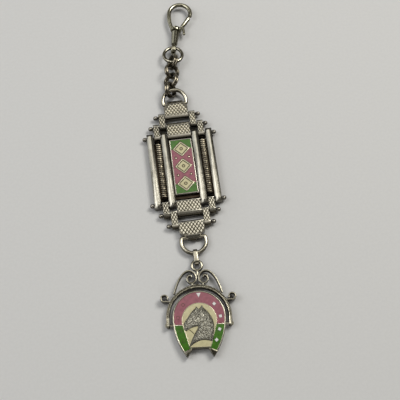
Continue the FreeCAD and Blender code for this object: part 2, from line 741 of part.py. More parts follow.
SCROLL_LINE = [(9.5, -11.5), (8.7, -8.9), (7.5, -6.0), (5.9, -3.6), (4.3, -2.4), (2.75, -2.3),
               (1.4, -3.15), (0.66, -4.7), (0.85, -6.3), (2.0, -7.3), (3.4, -6.95), (4.1, -5.8),
               (3.75, -4.6), (2.8, -4.2), (2.25, -4.9)]
SCROLL_THICKNESS = 0.58
SCROLL_HEIGHT = 2.0
KNOB_CENTRE = (2.15, -7.85)
KNOB_RADIUS = 0.42


def scrolls():
    """Two C-scrolls of flat strip standing on the arch."""
    for side, sign in (("left", -1), ("right", 1)):
        curve = Part.BSplineCurve()
        curve.interpolate([mirrored(point, sign) for point in SCROLL_LINE])
        path = Part.Wire(curve.toShape())
        start = path.Edges[0].valueAt(path.Edges[0].FirstParameter)
        ahead = path.Edges[0].tangentAt(path.Edges[0].FirstParameter)
        across = Vector(-ahead.y, ahead.x, 0).normalize() * (SCROLL_THICKNESS / 2)
        up = Vector(0, 0, SCROLL_HEIGHT / 2)
        corners = [start + across + up, start - across + up, start - across - up, start + across - up]
        section = Part.makePolygon(corners + corners[:1])
        sweep = Part.BRepOffsetAPI.MakePipeShell(path)
        sweep.setBiNormalMode(Z_AXIS)
        sweep.add(section)
        sweep.build()
        sweep.makeSolid()
        strip = sweep.shape()
        knob_base = mirrored(KNOB_CENTRE, sign) - Vector(0, 0, SCROLL_HEIGHT / 2)
        knob = Part.makeCylinder(KNOB_RADIUS, SCROLL_HEIGHT, knob_base, Z_AXIS)
        item = doc.addObject("Part::Feature", side + "_scroll")
        item.Shape = strip.fuse(knob).cut(arch_disc()).removeSplitter()
        keep(item, side + "_scroll", pendant_placement())


LIMB_BELOW_PIVOT = 0.4
GROOVE_HALF = 0.22
GROOVE_DEPTH = 0.35


def pendant_arch():
    """The arch that carries the spinner, grooved along its top, with a bore in each limb."""
    outer = size("arch_outer")
    inner = size("arch_inner")
    centre = -size("arch_centre")
    middle = (outer + inner) / 2
    half = (outer - inner) / 2
    foot = -size("pivot_below") - LIMB_BELOW_PIVOT
    depth = size("arch_depth")
    body = doc.addObject("PartDesign::Body", "pendant_arch")
    curves = [arc((0, centre), outer, 0, math.pi),
              line((-outer, centre), (-outer, foot)),
              arc((-middle, foot), half, math.pi, 2 * math.pi),
              line((-inner, foot), (-inner, centre)),
              arc((0, centre), inner, 0, math.pi),
              line((inner, centre), (inner, foot)),
              arc((middle, foot), half, math.pi, 2 * math.pi),
              line((outer, foot), (outer, centre))]
    sketch = sketch_on(body, "pendant_arch_plan", "XY_Plane", curves)
    pad(body, sketch, "arch_depth")
    groove = GROOVE_HALF
    groove_curves = [arc((0, centre), middle + groove, 0, math.pi),
                     line((-middle - groove, centre), (-middle - groove, foot)),
                     arc((-middle, foot), groove, math.pi, 2 * math.pi),
                     line((-middle + groove, foot), (-middle + groove, centre)),
                     arc((0, centre), middle - groove, 0, math.pi),
                     line((middle - groove, centre), (middle - groove, foot)),
                     arc((middle, foot), groove, math.pi, 2 * math.pi),
                     line((middle + groove, foot), (middle + groove, centre))]
    groove_sketch = sketch_on(body, "pendant_arch_groove", "XY_Plane", groove_curves)
    groove_sketch.AttachmentOffset = Placement(Vector(0, 0, depth), Rotation())
    pocket(body, groove_sketch, GROOVE_DEPTH, False)
    bore_sketch = sketch_on(body, "pendant_arch_bore", "YZ_Plane",
                            [round_hole((-size("pivot_below"), depth / 2), size("pivot_radius"))])
    bore_sketch.AttachmentOffset = Placement(Vector(0, 0, -outer - 1), Rotation())
    feature = pocket(body, bore_sketch, 2 * outer + 2, True)
    body.Tip = feature
    lowered = Placement(Vector(0, 0, -depth / 2), Rotation())
    keep(body, "pendant_arch", pendant_placement().multiply(lowered))


CURL_CENTRE = (13.4, -13.2)
CURL_OUTSIDE = 1.6
CURL_INSIDE = 1.1
CURL_NECK_HALF = 0.55
CURL_NECK_LENGTH = 3.4


def side_curls():
    """A short rolled tube soldered to each shoulder of the arch."""
    height = size("arch_depth")
    for side, sign in (("left", -1), ("right", 1)):
        centre = mirrored(CURL_CENTRE, sign)
        base = centre - Vector(0, 0, height / 2)
        inward = (Vector(0, -size("arch_centre"), 0) - centre).normalize()
        across = Vector(-inward.y, inward.x, 0) * CURL_NECK_HALF
        run = inward * CURL_NECK_LENGTH
        corners = [base + across, base - across, base - across + run, base + across + run]
        neck = Part.Face(Part.makePolygon(corners + corners[:1])).extrude(Vector(0, 0, height))
        tube = Part.makeCylinder(CURL_OUTSIDE, height, base, Z_AXIS)
        hole = Part.makeCylinder(CURL_INSIDE, height, base, Z_AXIS)
        item = doc.addObject("Part::Feature", side + "_curl")
        item.Shape = tube.fuse(neck).cut([hole, arch_disc()]).removeSplitter()
        keep(item, side + "_curl", pendant_placement())


PIVOT_INNER_END = 8.9
PIVOT_BEYOND = 0.35
HEAD_LARGE = 0.75
HEAD_SMALL = 0.4
HEAD_LENGTH = 0.5


def pivot_pins():
    """A short pin from each limb of the arch into the medallion."""
    y = -size("pivot_below")
    outside = size("arch_outer")
    length = outside + PIVOT_BEYOND - PIVOT_INNER_END
    for side, sign in (("left", -1), ("right", 1)):
        outward = Vector(sign, 0, 0)
        pin = Part.makeCylinder(size("pivot_radius"), length,
                                Vector(sign * PIVOT_INNER_END, y, 0), outward)
        head = Part.makeCone(HEAD_LARGE, HEAD_SMALL, HEAD_LENGTH,
                             Vector(sign * outside, y, 0), outward)
        item = doc.addObject("Part::Feature", side + "_pivot_pin")
        item.Shape = pin.fuse(head).removeSplitter()
        keep(item, side + "_pivot_pin", pendant_placement())


NOTCH_HALF = 3.15
FACE_ABOVE_NOTCH = 0.5


def horseshoe(rim, foot):
    """Round top and curved sides of the medallion, drawn inside a rim, down to a given line."""
    radius = size("medal_radius") - rim
    centre = -size("medal_centre")
    side_radius = size("medal_side") - rim
    side_centre = size("medal_radius") - size("medal_side")
    fall = math.asin((centre - foot) / side_radius)
    half = side_centre + side_radius * math.cos(fall)
    curves = [arc((0, centre), radius, 0, math.pi),
              arc((-side_centre, centre), side_radius, math.pi, math.pi + fall),
              arc((side_centre, centre), side_radius, -fall, 0)]
    return curves, half


def face_outline():
    """Outline of the enamel and of the recess that it lies in."""
    foot = -size("medal_notch") + FACE_ABOVE_NOTCH
    curves, half = horseshoe(size("medal_rim"), foot)
    return curves + [line((-half, foot), (half, foot))]


def medallion():
    """The spinner's body, its enamel front, its engraved back and the horse head on it."""
    thickness = size("medal_thickness")
    tip_y = -size("medal_tip")
    notch_y = -size("medal_notch")
    curves, tip = horseshoe(0.0, tip_y)
    curves += [line((-tip, tip_y), (-NOTCH_HALF, notch_y)),
               line((-NOTCH_HALF, notch_y), (NOTCH_HALF, notch_y)),
               line((NOTCH_HALF, notch_y), (tip, tip_y))]
    body = doc.addObject("PartDesign::Body", "medallion_body")
    sketch = sketch_on(body, "medallion_plan", "XY_Plane", curves)
    pad(body, sketch, "medal_thickness")
    for name, height, reverse in (("front", thickness, False), ("back", 0.0, True)):
        recess = sketch_on(body, "medallion_%s_recess" % name, "XY_Plane", face_outline())
        recess.AttachmentOffset = Placement(Vector(0, 0, height), Rotation())
        pocket(body, recess, size("enamel_depth"), reverse)
    bore = sketch_on(body, "medallion_bore", "YZ_Plane",
                     [round_hole((-size("pivot_below"), thickness / 2),
                                 size("pivot_radius") + size("running_gap"))])
    bore.AttachmentOffset = Placement(Vector(0, 0, -size("medal_radius") - 1), Rotation())
    feature = pocket(body, bore, 2 * size("medal_radius") + 2, True)
    body.Tip = feature
    lowered = Placement(Vector(0, 0, -thickness / 2), Rotation())
    keep(body, "medallion_body", pendant_placement().multiply(lowered))
    floor = thickness / 2 - size("enamel_depth")
    for label, bottom in (("medallion_enamel", floor),
                          ("medallion_back", -floor - size("enamel_thickness"))):
        disc = doc.addObject("PartDesign::Body", label)
        plan = sketch_on(disc, label + "_plan", "XY_Plane", face_outline())
        pad(disc, plan, "enamel_thickness")
        keep(disc, label, pendant_placement().multiply(Placement(Vector(0, 0, bottom), Rotation())))
    return floor + size("enamel_thickness")


HORSE_LINE = [(-0.8, -16.9), (0.0, -17.9), (1.2, -16.7), (2.2, -18.0), (4.4, -20.8), (5.5, -24.2),
              (5.2, -28.2), (4.3, -30.7), (1.8, -30.3), (-1.0, -30.7), (-4.4, -32.4), (-2.7, -29.2),
              (-1.2, -26.2), (-2.6, -25.0), (-5.0, -26.2), (-6.1, -25.3), (-5.9, -23.2), (-4.2, -20.6),
              (-2.4, -18.4)]


def horse_head(bottom):
    """The silver horse head, facing left, soldered on the enamel."""
    outline = Part.makePolygon([Vector(x, y, 0) for x, y in HORSE_LINE + HORSE_LINE[:1]])
    relief = Part.Face(outline).extrude(Vector(0, 0, size("relief_thickness")))
    item = doc.addObject("Part::Feature", "horse_head")
    item.Shape = relief
    keep(item, "horse_head", pendant_placement().multiply(Placement(Vector(0, 0, bottom), Rotation())))


def main():
    centre_panel()
    stepped_rows()
    d_rings()
    chain()
    clip_body()
    clip_gate()
    clip_small_parts()
    swivel_eye()
    connecting_link()
    pendant_loop()
    scrolls()
    pendant_arch()
    side_curls()
    pivot_pins()
    horse_head(medallion())
    doc.recompute()
    for item in doc.Objects:
        if "Invalid" in item.State or "Error" in item.State:
            raise RuntimeError("%s failed: %s" % (item.Label, item.State))
    for piece in pieces:
        shape = piece.Shape
        if shape.isNull() or not shape.isValid() or not shape.Solids or shape.Volume <= 0:
            raise RuntimeError("%s has no valid solid" % piece.Label)
        print("%-28s solids %d volume %9.4f" % (piece.Label, len(shape.Solids), shape.Volume))
    os.makedirs("parts", exist_ok=True)
    for piece in pieces:
        piece.Shape.exportStep("parts/%s.step" % piece.Label)
    print(len(pieces), "nodes")


main()
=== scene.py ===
import json
import random
from math import acos, asin, atan2, cos, exp, hypot, pi, radians, sin

import bmesh
import bpy
import numpy as np
from mathutils import Matrix, Vector, noise


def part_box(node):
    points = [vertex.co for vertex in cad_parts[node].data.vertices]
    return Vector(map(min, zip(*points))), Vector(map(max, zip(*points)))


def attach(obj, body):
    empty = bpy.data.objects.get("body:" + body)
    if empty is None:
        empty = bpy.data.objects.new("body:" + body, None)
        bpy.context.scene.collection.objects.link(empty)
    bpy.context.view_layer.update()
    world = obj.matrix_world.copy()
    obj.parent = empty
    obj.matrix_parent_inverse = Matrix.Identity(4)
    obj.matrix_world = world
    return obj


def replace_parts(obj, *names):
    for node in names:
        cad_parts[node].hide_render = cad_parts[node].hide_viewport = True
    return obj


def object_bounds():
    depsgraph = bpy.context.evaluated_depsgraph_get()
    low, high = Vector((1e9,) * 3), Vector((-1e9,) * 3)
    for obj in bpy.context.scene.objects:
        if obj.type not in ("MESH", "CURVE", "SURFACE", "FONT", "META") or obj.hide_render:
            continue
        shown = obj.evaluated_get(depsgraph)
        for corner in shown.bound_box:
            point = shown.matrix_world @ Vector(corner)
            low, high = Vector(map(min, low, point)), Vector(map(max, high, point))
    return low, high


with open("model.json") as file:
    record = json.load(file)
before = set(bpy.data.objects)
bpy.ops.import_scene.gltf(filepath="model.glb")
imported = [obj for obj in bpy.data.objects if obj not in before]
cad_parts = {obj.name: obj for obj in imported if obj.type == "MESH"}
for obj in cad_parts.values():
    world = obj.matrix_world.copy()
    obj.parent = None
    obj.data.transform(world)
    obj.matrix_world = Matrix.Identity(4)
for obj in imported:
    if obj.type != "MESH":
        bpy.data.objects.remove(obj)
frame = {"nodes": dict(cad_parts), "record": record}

# Looks of the pocket watch chain. Lengths are in millimetres in each piece's own axes, and
# `world` matrices turn them into metres in the CAD frame.

BOX_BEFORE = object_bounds()
RECORD = frame["record"]
JOINTS = {joint["name"]: joint for joint in RECORD["behaviour"]["joints"]}
BODY_OF = {node: body for body, nodes in RECORD["behaviour"]["bodies"].items() for node in nodes}
SLOT_OF = {part["node"]: part["material_slot"] for part in RECORD["subparts"]}
MM = 0.001
X_AXIS = Vector((1, 0, 0))
Y_AXIS = Vector((0, 1, 0))
UP = Vector((0, 0, 1))
FULL_TURN = 2 * pi
random.seed(7)


# ---- where things are

def box_mm(node):
    """Lowest and highest corner of a CAD node."""
    low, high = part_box(node)
    return low / MM, high / MM


def placed(origin_mm, x_axis, y_axis, z_axis):
    """Matrix from a piece's own millimetres to the CAD frame in metres."""
    turn = Matrix((x_axis, y_axis, z_axis)).transposed().to_4x4()
    return Matrix.Translation(Vector(origin_mm) * MM) @ turn @ Matrix.Scale(MM, 4)


def lying(origin_mm, y_axis):
    """Own axes that lie flat: y along the given direction and z up."""
    along = Vector(y_axis).normalized()
    return placed(origin_mm, along.cross(UP), along, UP)


def joint_mm(name):
    """A joint's place and its axis."""
    joint = JOINTS[name]
    return Vector(joint["pos_m"]) / MM, Vector(joint["axis"]).normalized()


WORLD = placed((0, 0, 0), X_AXIS, Y_AXIS, UP)


# ---- materials

def new_material(name):
    material = bpy.data.materials.new(name)
    material.use_nodes = True
    tree = material.node_tree
    return material, tree, tree.nodes["Principled BSDF"]


def noise_node(tree, scale, detail=3.0):
    """Procedural noise in the object's own space."""
    place = tree.nodes.new("ShaderNodeTexCoord")
    texture = tree.nodes.new("ShaderNodeTexNoise")
    texture.inputs["Scale"].default_value = scale
    texture.inputs["Detail"].default_value = detail
    tree.links.new(place.outputs["Object"], texture.inputs["Vector"])
    return texture


def ramp(tree, source, stops):
    node = tree.nodes.new("ShaderNodeValToRGB")
    elements = node.color_ramp.elements
    while len(elements) < len(stops):
        elements.new(0.5)
    for element, (position, colour) in zip(elements, stops):
        element.position = position
        element.color = (*colour, 1)
    tree.links.new(source, node.inputs["Fac"])
    return node


def bumped(tree, shader, texture, strength, distance):
    """Lets a texture's height show in the shading."""
    relief = tree.nodes.new("ShaderNodeBump")
    relief.inputs["Strength"].default_value = strength
    relief.inputs["Distance"].default_value = distance
    tree.links.new(texture.outputs["Fac"], relief.inputs["Height"])
    tree.links.new(relief.outputs["Normal"], shader.inputs["Normal"])


# The painted shade, and the darker tone on some parts, blend towards this share of the dark tone.
SHADE_SHARE = 0.25  # of the dark tone


def metal(name, light, dark, rough, tarnish, takes_shade=True):
    """Nickel silver: toned a little in random patches, and blended towards a dark tone by painted shade
    in hollows, underneath and on the sides, or on a few parts by a plain darker tone.
    """
    material, tree, shader = new_material(name)
    shader.inputs["Metallic"].default_value = 1.0
    patches = noise_node(tree, 300, 5.0)
    spots = noise_node(tree, 5000)
    toned = [a + (b - a) * tarnish for a, b in zip(light, dark)]
    result = ramp(tree, patches.outputs["Fac"], [(0.36, toned), (0.62, light)]).outputs["Color"]
    # Painted shade, stored per point on the mesh, blends the colour towards the dark tone.
    if takes_shade:
        hollow = tree.nodes.new("ShaderNodeAttribute")
        hollow.attribute_name = "hollow"
        blend = tree.nodes.new("ShaderNodeMix")
        blend.data_type = "RGBA"
        blend.inputs["B"].default_value = (*[SHADE_SHARE * part for part in dark], 1)
        tree.links.new(hollow.outputs["Fac"], blend.inputs["Factor"])
        tree.links.new(result, blend.inputs["A"])
        result = blend.outputs["Result"]
    tree.links.new(result, shader.inputs["Base Color"])
    gloss = ramp(tree, spots.outputs["Fac"],
                 [(0.3, (rough * 0.8,) * 3), (0.7, (min(1.0, rough * 1.3),) * 3)])
    tree.links.new(gloss.outputs["Color"], shader.inputs["Roughness"])
    bumped(tree, shader, spots, 0.05, 0.0001)
    return material


def enamel(name, colour, deep):
    """Fired enamel: glassy, slightly uneven in colour."""
    material, tree, shader = new_material(name)
    cloud = noise_node(tree, 700, 5.0)
    tint = ramp(tree, cloud.outputs["Fac"], [(0.3, deep), (0.65, colour)])
    tree.links.new(tint.outputs["Color"], shader.inputs["Base Color"])
    shader.inputs["Roughness"].default_value = 0.16
    shader.inputs["Coat Weight"].default_value = 0.25
    shader.inputs["Coat Roughness"].default_value = 0.08
    bumped(tree, shader, cloud, 0.06, 0.0003)
    return material


DARK = (0.17, 0.14, 0.09)
LOOKS = {name: metal(name, *values) for name, values in {
    "polished_nickel": ((0.66, 0.63, 0.53), DARK, 0.22, 0.3),
    "knurled_nickel": ((0.82, 0.78, 0.65), DARK, 0.26, 0.22),
    "oxidised_nickel": ((0.12, 0.09, 0.06), (0.04, 0.03, 0.02), 0.40, 0.5),
    "spring_wire": ((0.81, 0.72, 0.54), (0.10, 0.07, 0.05), 0.34, 0.2),
    "pin_nickel": ((0.50, 0.47, 0.40), (0.14, 0.12, 0.09), 0.20, 0.4),
    "ring_nickel": ((0.62, 0.58, 0.46), DARK, 0.18, 0.3),
    "chain_nickel": ((0.45, 0.40, 0.30), (0.10, 0.075, 0.05), 0.22, 0.5),
    "clip_nickel": ((0.63, 0.60, 0.45), (0.16, 0.14, 0.07), 0.16, 0.25),
    "pendant_silver": ((0.58, 0.55, 0.43), DARK, 0.20, 0.45),
    "relief_silver": ((0.55, 0.53, 0.44), (0.12, 0.11, 0.08), 0.36, 0.4),
    "engraved_silver": ((0.72, 0.70, 0.66), DARK, 0.26, 0.3),
}.items()}
ROSE = enamel("rose_enamel", (0.40, 0.12, 0.155), (0.28, 0.082, 0.11))
GREEN = enamel("green_enamel", (0.065, 0.21, 0.008), (0.04, 0.135, 0.005))
CREAM = enamel("cream_enamel", (0.74, 0.68, 0.40), (0.62, 0.56, 0.32))
BRIGHT = metal("bright_wire", (0.62, 0.58, 0.42), (0.26, 0.22, 0.14), 0.22, 0.35, takes_shade=False)
NAIL = metal("nail_silver", (0.86, 0.86, 0.83), (0.50, 0.48, 0.44), 0.35, 0.2, takes_shade=False)
NAIL.node_tree.nodes["Principled BSDF"].inputs["Metallic"].default_value = 0.3
LINE = metal("dark_line", (0.10, 0.085, 0.05), (0.04, 0.03, 0.02), 0.42, 0.4, takes_shade=False)


# ---- mesh helpers

def finish_mesh(name, bm, where, node, material=None, crease=35.0, hollow=0.0, flank=0.0):
    """A named object from a mesh in own millimetres, riding on the node's body.

    The first darkening argument, a number or a function of a point, is painted shade in hollows
    and underneath, and on a few parts just a darker tone; the second is painted shade on the sides.
    """
    bmesh.ops.remove_doubles(bm, verts=bm.verts, dist=1e-5)
    bmesh.ops.recalc_face_normals(bm, faces=bm.faces)
    mesh = bpy.data.meshes.new(name)
    bm.to_mesh(mesh)
    bm.free()
    # Painted shade per point: the darkening given, or the shade on the sides, whichever is darker.
    depth = mesh.attributes.new("hollow", "FLOAT", "POINT")
    values = []
    for vertex in mesh.vertices:
        dark = hollow(vertex.co) if callable(hollow) else hollow
        # Painted shade on the sides, growing as a face turns away from straight up.
        side = flank * min(1.0, max(0.0, (0.9 - vertex.normal.z) / 0.5))
        values.append(max(dark, side))
    depth.data.foreach_set("value", values)
    mesh.transform(where)
    mesh.shade_smooth()
    mesh.set_sharp_from_angle(angle=radians(crease))
    mesh.materials.append(material or LOOKS[SLOT_OF[node]])
    piece = bpy.data.objects.new(name, mesh)
    bpy.context.scene.collection.objects.link(piece)
    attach(piece, BODY_OF[node])
    return piece


def stand_in(node, bm, where=WORLD, **options):
    """The finished mesh that replaces a CAD node."""
    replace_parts(finish_mesh(node + "_look", bm, where, node, **options), node)


def sunk(level, rate, most):
    """Painted shade that grows with the depth below a level, up to a limit."""
    return lambda co: min(most, max(0.0, (level - co.z) * rate))


def only(items, kind):
    return [item for item in items if isinstance(item, kind)]


def round_over(bm, edges, offset, segments=2):
    bmesh.ops.bevel(bm, geom=edges, offset=offset, segments=segments, affect="EDGES", profile=0.5)


def rings_to_faces(bm, rings, closed_path=False, first_cap=True):
    """Joins rings of vertices, one after another, into a skin."""
    loops = [[bm.verts.new(point) for point in ring] for ring in rings]
    count = len(loops[0])
    following = loops[1:] + loops[:1] if closed_path else loops[1:]
    for first, second in zip(loops, following):
        for index in range(count):
            after = (index + 1) % count
            bm.faces.new((first[index], first[after], second[after], second[index]))
    if not closed_path:
        if first_cap:
            bm.faces.new(loops[0][::-1])
        bm.faces.new(loops[-1])


def frames_along(points, closed, up=None):
    """Point, side and up vectors at each point; up is kept if given, or carried along."""
    points = [Vector(point) for point in points]
    count = len(points)
    result = []
    carried = None
    for index, point in enumerate(points):
        before = points[index - 1] if closed or index else point
        after = points[(index + 1) % count] if closed or index < count - 1 else point
        tangent = (after - before).normalized()
        if up is not None:
            side = tangent.cross(up).normalized()
        else:
            if carried is None:
                carried = tangent.orthogonal().normalized()
            side = (carried - tangent * carried.dot(tangent)).normalized()
            carried = side
        result.append((point, side, side.cross(tangent).normalized()))
    return result


def sweep(bm, points, section, closed=False, up=None, scale=None):
    """Sweeps a section, given as (side, up) pairs, along the points."""
    rings = []
    for index, (point, side, above) in enumerate(frames_along(points, closed, up)):
        size = scale[index] if scale else 1.0
        rings.append([point + side * (a * size) + above * (b * size) for a, b in section])
    rings_to_faces(bm, rings, closed)


def round_section(radius, sides=20):
    return [(radius * cos(2 * pi * k / sides), radius * sin(2 * pi * k / sides))
            for k in range(sides)]


def rounded_rectangle(width, height, corner, steps=3):
    """Section of a strip with rounded edges."""
    points = []
    for quarter, (sx, sy) in enumerate(((1, 1), (-1, 1), (-1, -1), (1, -1))):
        centre = (sx * (width / 2 - corner), sy * (height / 2 - corner))
        for step in range(steps + 1):
            angle = pi / 2 * (quarter + step / steps)
            points.append((centre[0] + corner * cos(angle), centre[1] + corner * sin(angle)))
    return points


def arc(centre, radius, steps, start=0.0, end=FULL_TURN, across=X_AXIS, along=Y_AXIS):
    """Points on an arc in the plane of two unit vectors. A full circle doesn't repeat its start."""
    whole = abs(abs(end - start) - FULL_TURN) < 1e-6
    angles = [start + (end - start) * k / steps for k in range(steps if whole else steps + 1)]
    return [Vector(centre) + Vector(across) * (radius * cos(angle))
            + Vector(along) * (radius * sin(angle)) for angle in angles]


def ball_profile(radius, at, first, steps):
    """Profile of a ball for the lathe, from a first angle to its pole."""
    angles = [first + (pi / 2 - first) * k / steps for k in range(steps + 1)]
    return [(radius * cos(angle), at + radius * sin(angle)) for angle in angles]


def lathe(bm, profile, origin=(0, 0, 0), axis=(0, 1, 0), sides=48):
    """Turns (radius, distance) pairs about an axis."""
    direction = Vector(axis).normalized()
    first = direction.orthogonal().normalized()
    second = direction.cross(first)
    rings = []
    for radius, distance in profile:
        centre = Vector(origin) + direction * distance
        rings.append([centre + (first * cos(2 * pi * k / sides)
                                + second * sin(2 * pi * k / sides)) * max(radius, 1e-4)
                      for k in range(sides)])
    rings_to_faces(bm, rings, False)


def spline(points, steps, closed=False):
    """A smooth curve through the points (Catmull-Rom)."""
    points = [Vector(point).to_3d() for point in points]
    count = len(points)
    result = []
    for index in range(count if closed else count - 1):
        if closed:
            a, b, c, d = (points[(index + k - 1) % count] for k in range(4))
        else:
            b, c = points[index], points[index + 1]
            a = points[index - 1] if index else b * 2 - c
            d = points[index + 2] if index + 2 < count else c * 2 - b
        for step in range(steps):
            t = step / steps
            result.append(0.5 * ((2 * b) + (c - a) * t + (2 * a - 5 * b + 4 * c - d) * t * t
                                 + (3 * b - a - 3 * c + d) * t ** 3))
    if not closed:
        result.append(points[-1])
    return result


def subdivided(corners, steps):
    """Points along the sides of a closed polygon."""
    following = corners[1:] + corners[:1]
    return [first.lerp(second, step / steps) for first, second in zip(corners, following)
            for step in range(steps)]


def slab(bm, outline, low, high, edge=0.0, segments=2):
    """A flat slab with the outline's top edges rounded over."""
    face = bm.faces.new([bm.verts.new((point[0], point[1], low)) for point in outline])
    lifted = bmesh.ops.extrude_face_region(bm, geom=[face])["geom"]
    bmesh.ops.translate(bm, verts=only(lifted, bmesh.types.BMVert), vec=(0, 0, high - low))
    if edge:
        round_over(bm, only(lifted, bmesh.types.BMEdge), edge, segments)


def cuboid(bm, low, high, edge):
    """A box between two corners, with rounded edges."""
    corners = [bm.verts.new((x, y, z)) for x in (low[0], high[0]) for y in (low[1], high[1])
               for z in (low[2], high[2])]
    for face in ((0, 1, 3, 2), (4, 6, 7, 5), (0, 4, 5, 1), (2, 3, 7, 6), (0, 2, 6, 4), (1, 5, 7, 3)):
        bm.faces.new([corners[k] for k in face])
    round_over(bm, list(bm.edges), edge)


def long_loop(bm, low, high, height, radius, section, steps):
    """A flat strip bent into a long loop along y, standing on its edge."""
    path = arc((0, low, height), radius, steps, pi, FULL_TURN, UP, Y_AXIS)
    path += arc((0, high, height), radius, steps, 0, pi, UP, Y_AXIS)
    sweep(bm, path, section, True, X_AXIS)


# ---- hinged plates and rails

PIN_HEIGHT = joint_mm("upper_inner_hinge")[0].z
KNURL_WIDE = 1.35
KNURL_LONG = 2.1
KNURL_DEEP = 0.3
KNURL_CROWN = {"upper": 0.5, "lower": 0.58}


def knurl(bm, allowed, low, high, floor, share):
    """Rows of four-sided points, each row set off by half from the one before."""
    rows = int((high.y - low.y) / (KNURL_LONG / 2))
    shift = ((high.y - low.y) - rows * KNURL_LONG / 2) / 2
    columns = round((high.x - low.x) / KNURL_WIDE)
    wide = (high.x - low.x) / columns
    for row in range(rows + 1):
        y = low.y + shift + row * KNURL_LONG / 2
        offset = 0.5 if row % 2 == 0 else 0.0
        for column in range(columns + 1):
            x = low.x + (column + offset) * wide
            corners = [(x - wide / 2, y), (x, y - KNURL_LONG / 2), (x + wide / 2, y),
                       (x, y + KNURL_LONG / 2)]
            inside = [Vector((min(max(px, low.x), high.x), py)) for px, py in corners]
            if not all(allowed(px, py) for px, py in inside) or not low.x <= x <= high.x:
                continue
            inside = [Vector((px, min(max(py, low.y), high.y))) for px, py in inside]
            centre = sum(inside, Vector((0, 0))) / 4
            tip = KNURL_DEEP * (0.9 + 0.2 * random.random())
            base = [bm.verts.new((corner.x, corner.y, floor)) for corner in inside]
            crown = [bm.verts.new((*centre.lerp(corner, share), floor + tip)) for corner in inside]
            for k in range(4):
                after = (k + 1) % 4
                if (base[k].co - base[after].co).length > 1e-4:
                    bm.faces.new((base[k], base[after], crown[after], crown[k]))
            bm.faces.new(crown)


def barrel_side(place, radius, first, last, steps=14):
    """Part of a hinge barrel in side view, as (along, height) pairs."""
    angles = [first + (last - first) * k / steps for k in range(steps + 1)]
    return [(place + radius * cos(angle), PIN_HEIGHT + radius * sin(angle))
            for angle in angles]


def plate_profile(near, far, near_over, far_over, radius, top, floor):
    """Side view of a plate over the barrels of its two hinges, with a floor sunk between two lips."""
    near_top = near - near_over + PLATE_SLOPE
    far_top = far + far_over - PLATE_SLOPE
    points = barrel_side(far, radius, -pi / 2, acos(far_over / radius))
    points += [(far_top, top), (far_top - LIP, top), (far_top - LIP, floor),
               (near_top + LIP, floor), (near_top + LIP, top), (near_top, top)]
    start = pi - acos(near_over / radius)
    return points + barrel_side(near, radius, start, 3 * pi / 2)


def extrude_profile(bm, profile, left, right, edge):
    """A profile in the along-height plane, carried from left to right."""
    first = [bm.verts.new((left, along, height)) for along, height in profile]
    second = [bm.verts.new((right, along, height)) for along, height in profile]
    count = len(profile)
    for k in range(count):
        after = (k + 1) % count
        bm.faces.new((first[k], first[after], second[after], second[k]))
    sides = [bm.faces.new(first[::-1]), bm.faces.new(second)]
    round_over(bm, [item for face in sides for item in face.edges], edge)


PLATE_JOINTS = {
    "centre_plate": ("inner", "middle"),
    "left_spring_block": ("inner", "middle"),
    "right_spring_block": ("inner", "middle"),
    "left_leg": ("middle", "outer"),
    "right_leg": ("middle", "outer"),
    "end_plate": ("outer", "ring"),
}
PLATE_OVER = {"inner": (1.0, 0.6), "middle": (1.4, 0.9), "outer": (1.2, 0.2)}
PLATE_SLOPE = 0.7
CORNER_LENGTH = 2.0
CORNER_CUT = {"upper": 1.4, "lower": 2.3}
LIP = 0.14
BARREL_TOP = 3.12
FIELD_MARGIN = 0.1


def hinged_plate(node):
    """A plate over two barrels, sloped at both ends, with a sunken floor under knurled points."""
    half, kind = node.split("_", 1)
    near_name, far_name = PLATE_JOINTS[kind]
    near, far = (abs(joint_mm("%s_%s_hinge" % (half, name))[0].y) for name in (near_name, far_name))
    sign = 1 if half == "upper" else -1
    low, high = box_mm(node)
    near_over, far_over = PLATE_OVER[near_name]
    floor = high.z - KNURL_DEEP
    profile = plate_profile(near, far, near_over, far_over, PIN_HEIGHT - low.z, high.z, floor)
    bm = bmesh.new()
    extrude_profile(bm, [(sign * along, height) for along, height in profile], low.x, high.x, 0.06)
    cut = CORNER_CUT[half] if kind == "end_plate" else 0.0
    if cut:
        cut_corners(bm, cut, low, high, far, sign)
    # Painted shade on the sides, on the sunken floor and down the barrels.
    stand_in(node, bm, crease=25.0, flank=0.85, hollow=lambda co: plate_shade(co, floor))

    def allowed(x, y):
        passed = max(0.0, sign * y - far + CORNER_LENGTH)
        side = passed * cut / CORNER_LENGTH + FIELD_MARGIN - 0.01
        return not cut or low.x + side <= x <= high.x - side
    ends = (sign * (near - near_over + PLATE_SLOPE + LIP), sign * (far + far_over - PLATE_SLOPE - LIP))
    field = bmesh.new()
    knurl(field, allowed, Vector((low.x + FIELD_MARGIN, min(ends))),
          Vector((high.x - FIELD_MARGIN, max(ends))), floor, KNURL_CROWN[half])
    # The floor between the knurled points is painted black as shade.
    finish_mesh(node + "_knurl", field, WORLD, node, crease=15.0,
                hollow=lambda co: 1.0 if co.z < floor + 0.05 else 0.0)


def plate_shade(co, floor):
    """Painted shade on the sunken floor, and more of it down the barrels."""
    if abs(co.z - floor) < 0.02:
        return 0.85
    return min(0.95, max(0.0, (BARREL_TOP - co.z) / 0.15))


def cut_corners(bm, cut, low, high, far, sign):
    """Cuts the far corners of an end plate back to the D-ring's barrel."""
    for side in (-1, 1):
        edge_x = low.x if side < 0 else high.x
        start = Vector((edge_x, sign * (far - CORNER_LENGTH), 0))
        normal = Vector((side * CORNER_LENGTH, sign * cut, 0)).normalized()
        geometry = list(bm.verts) + list(bm.edges) + list(bm.faces)
        made = bmesh.ops.bisect_plane(bm, geom=geometry, plane_co=start, plane_no=normal,
                                      clear_outer=True)
        bmesh.ops.holes_fill(bm, edges=only(made["geom_cut"], bmesh.types.BMEdge), sides=0)


RAIL_SIDE = 1.0
RAIL_DROP = 0.67


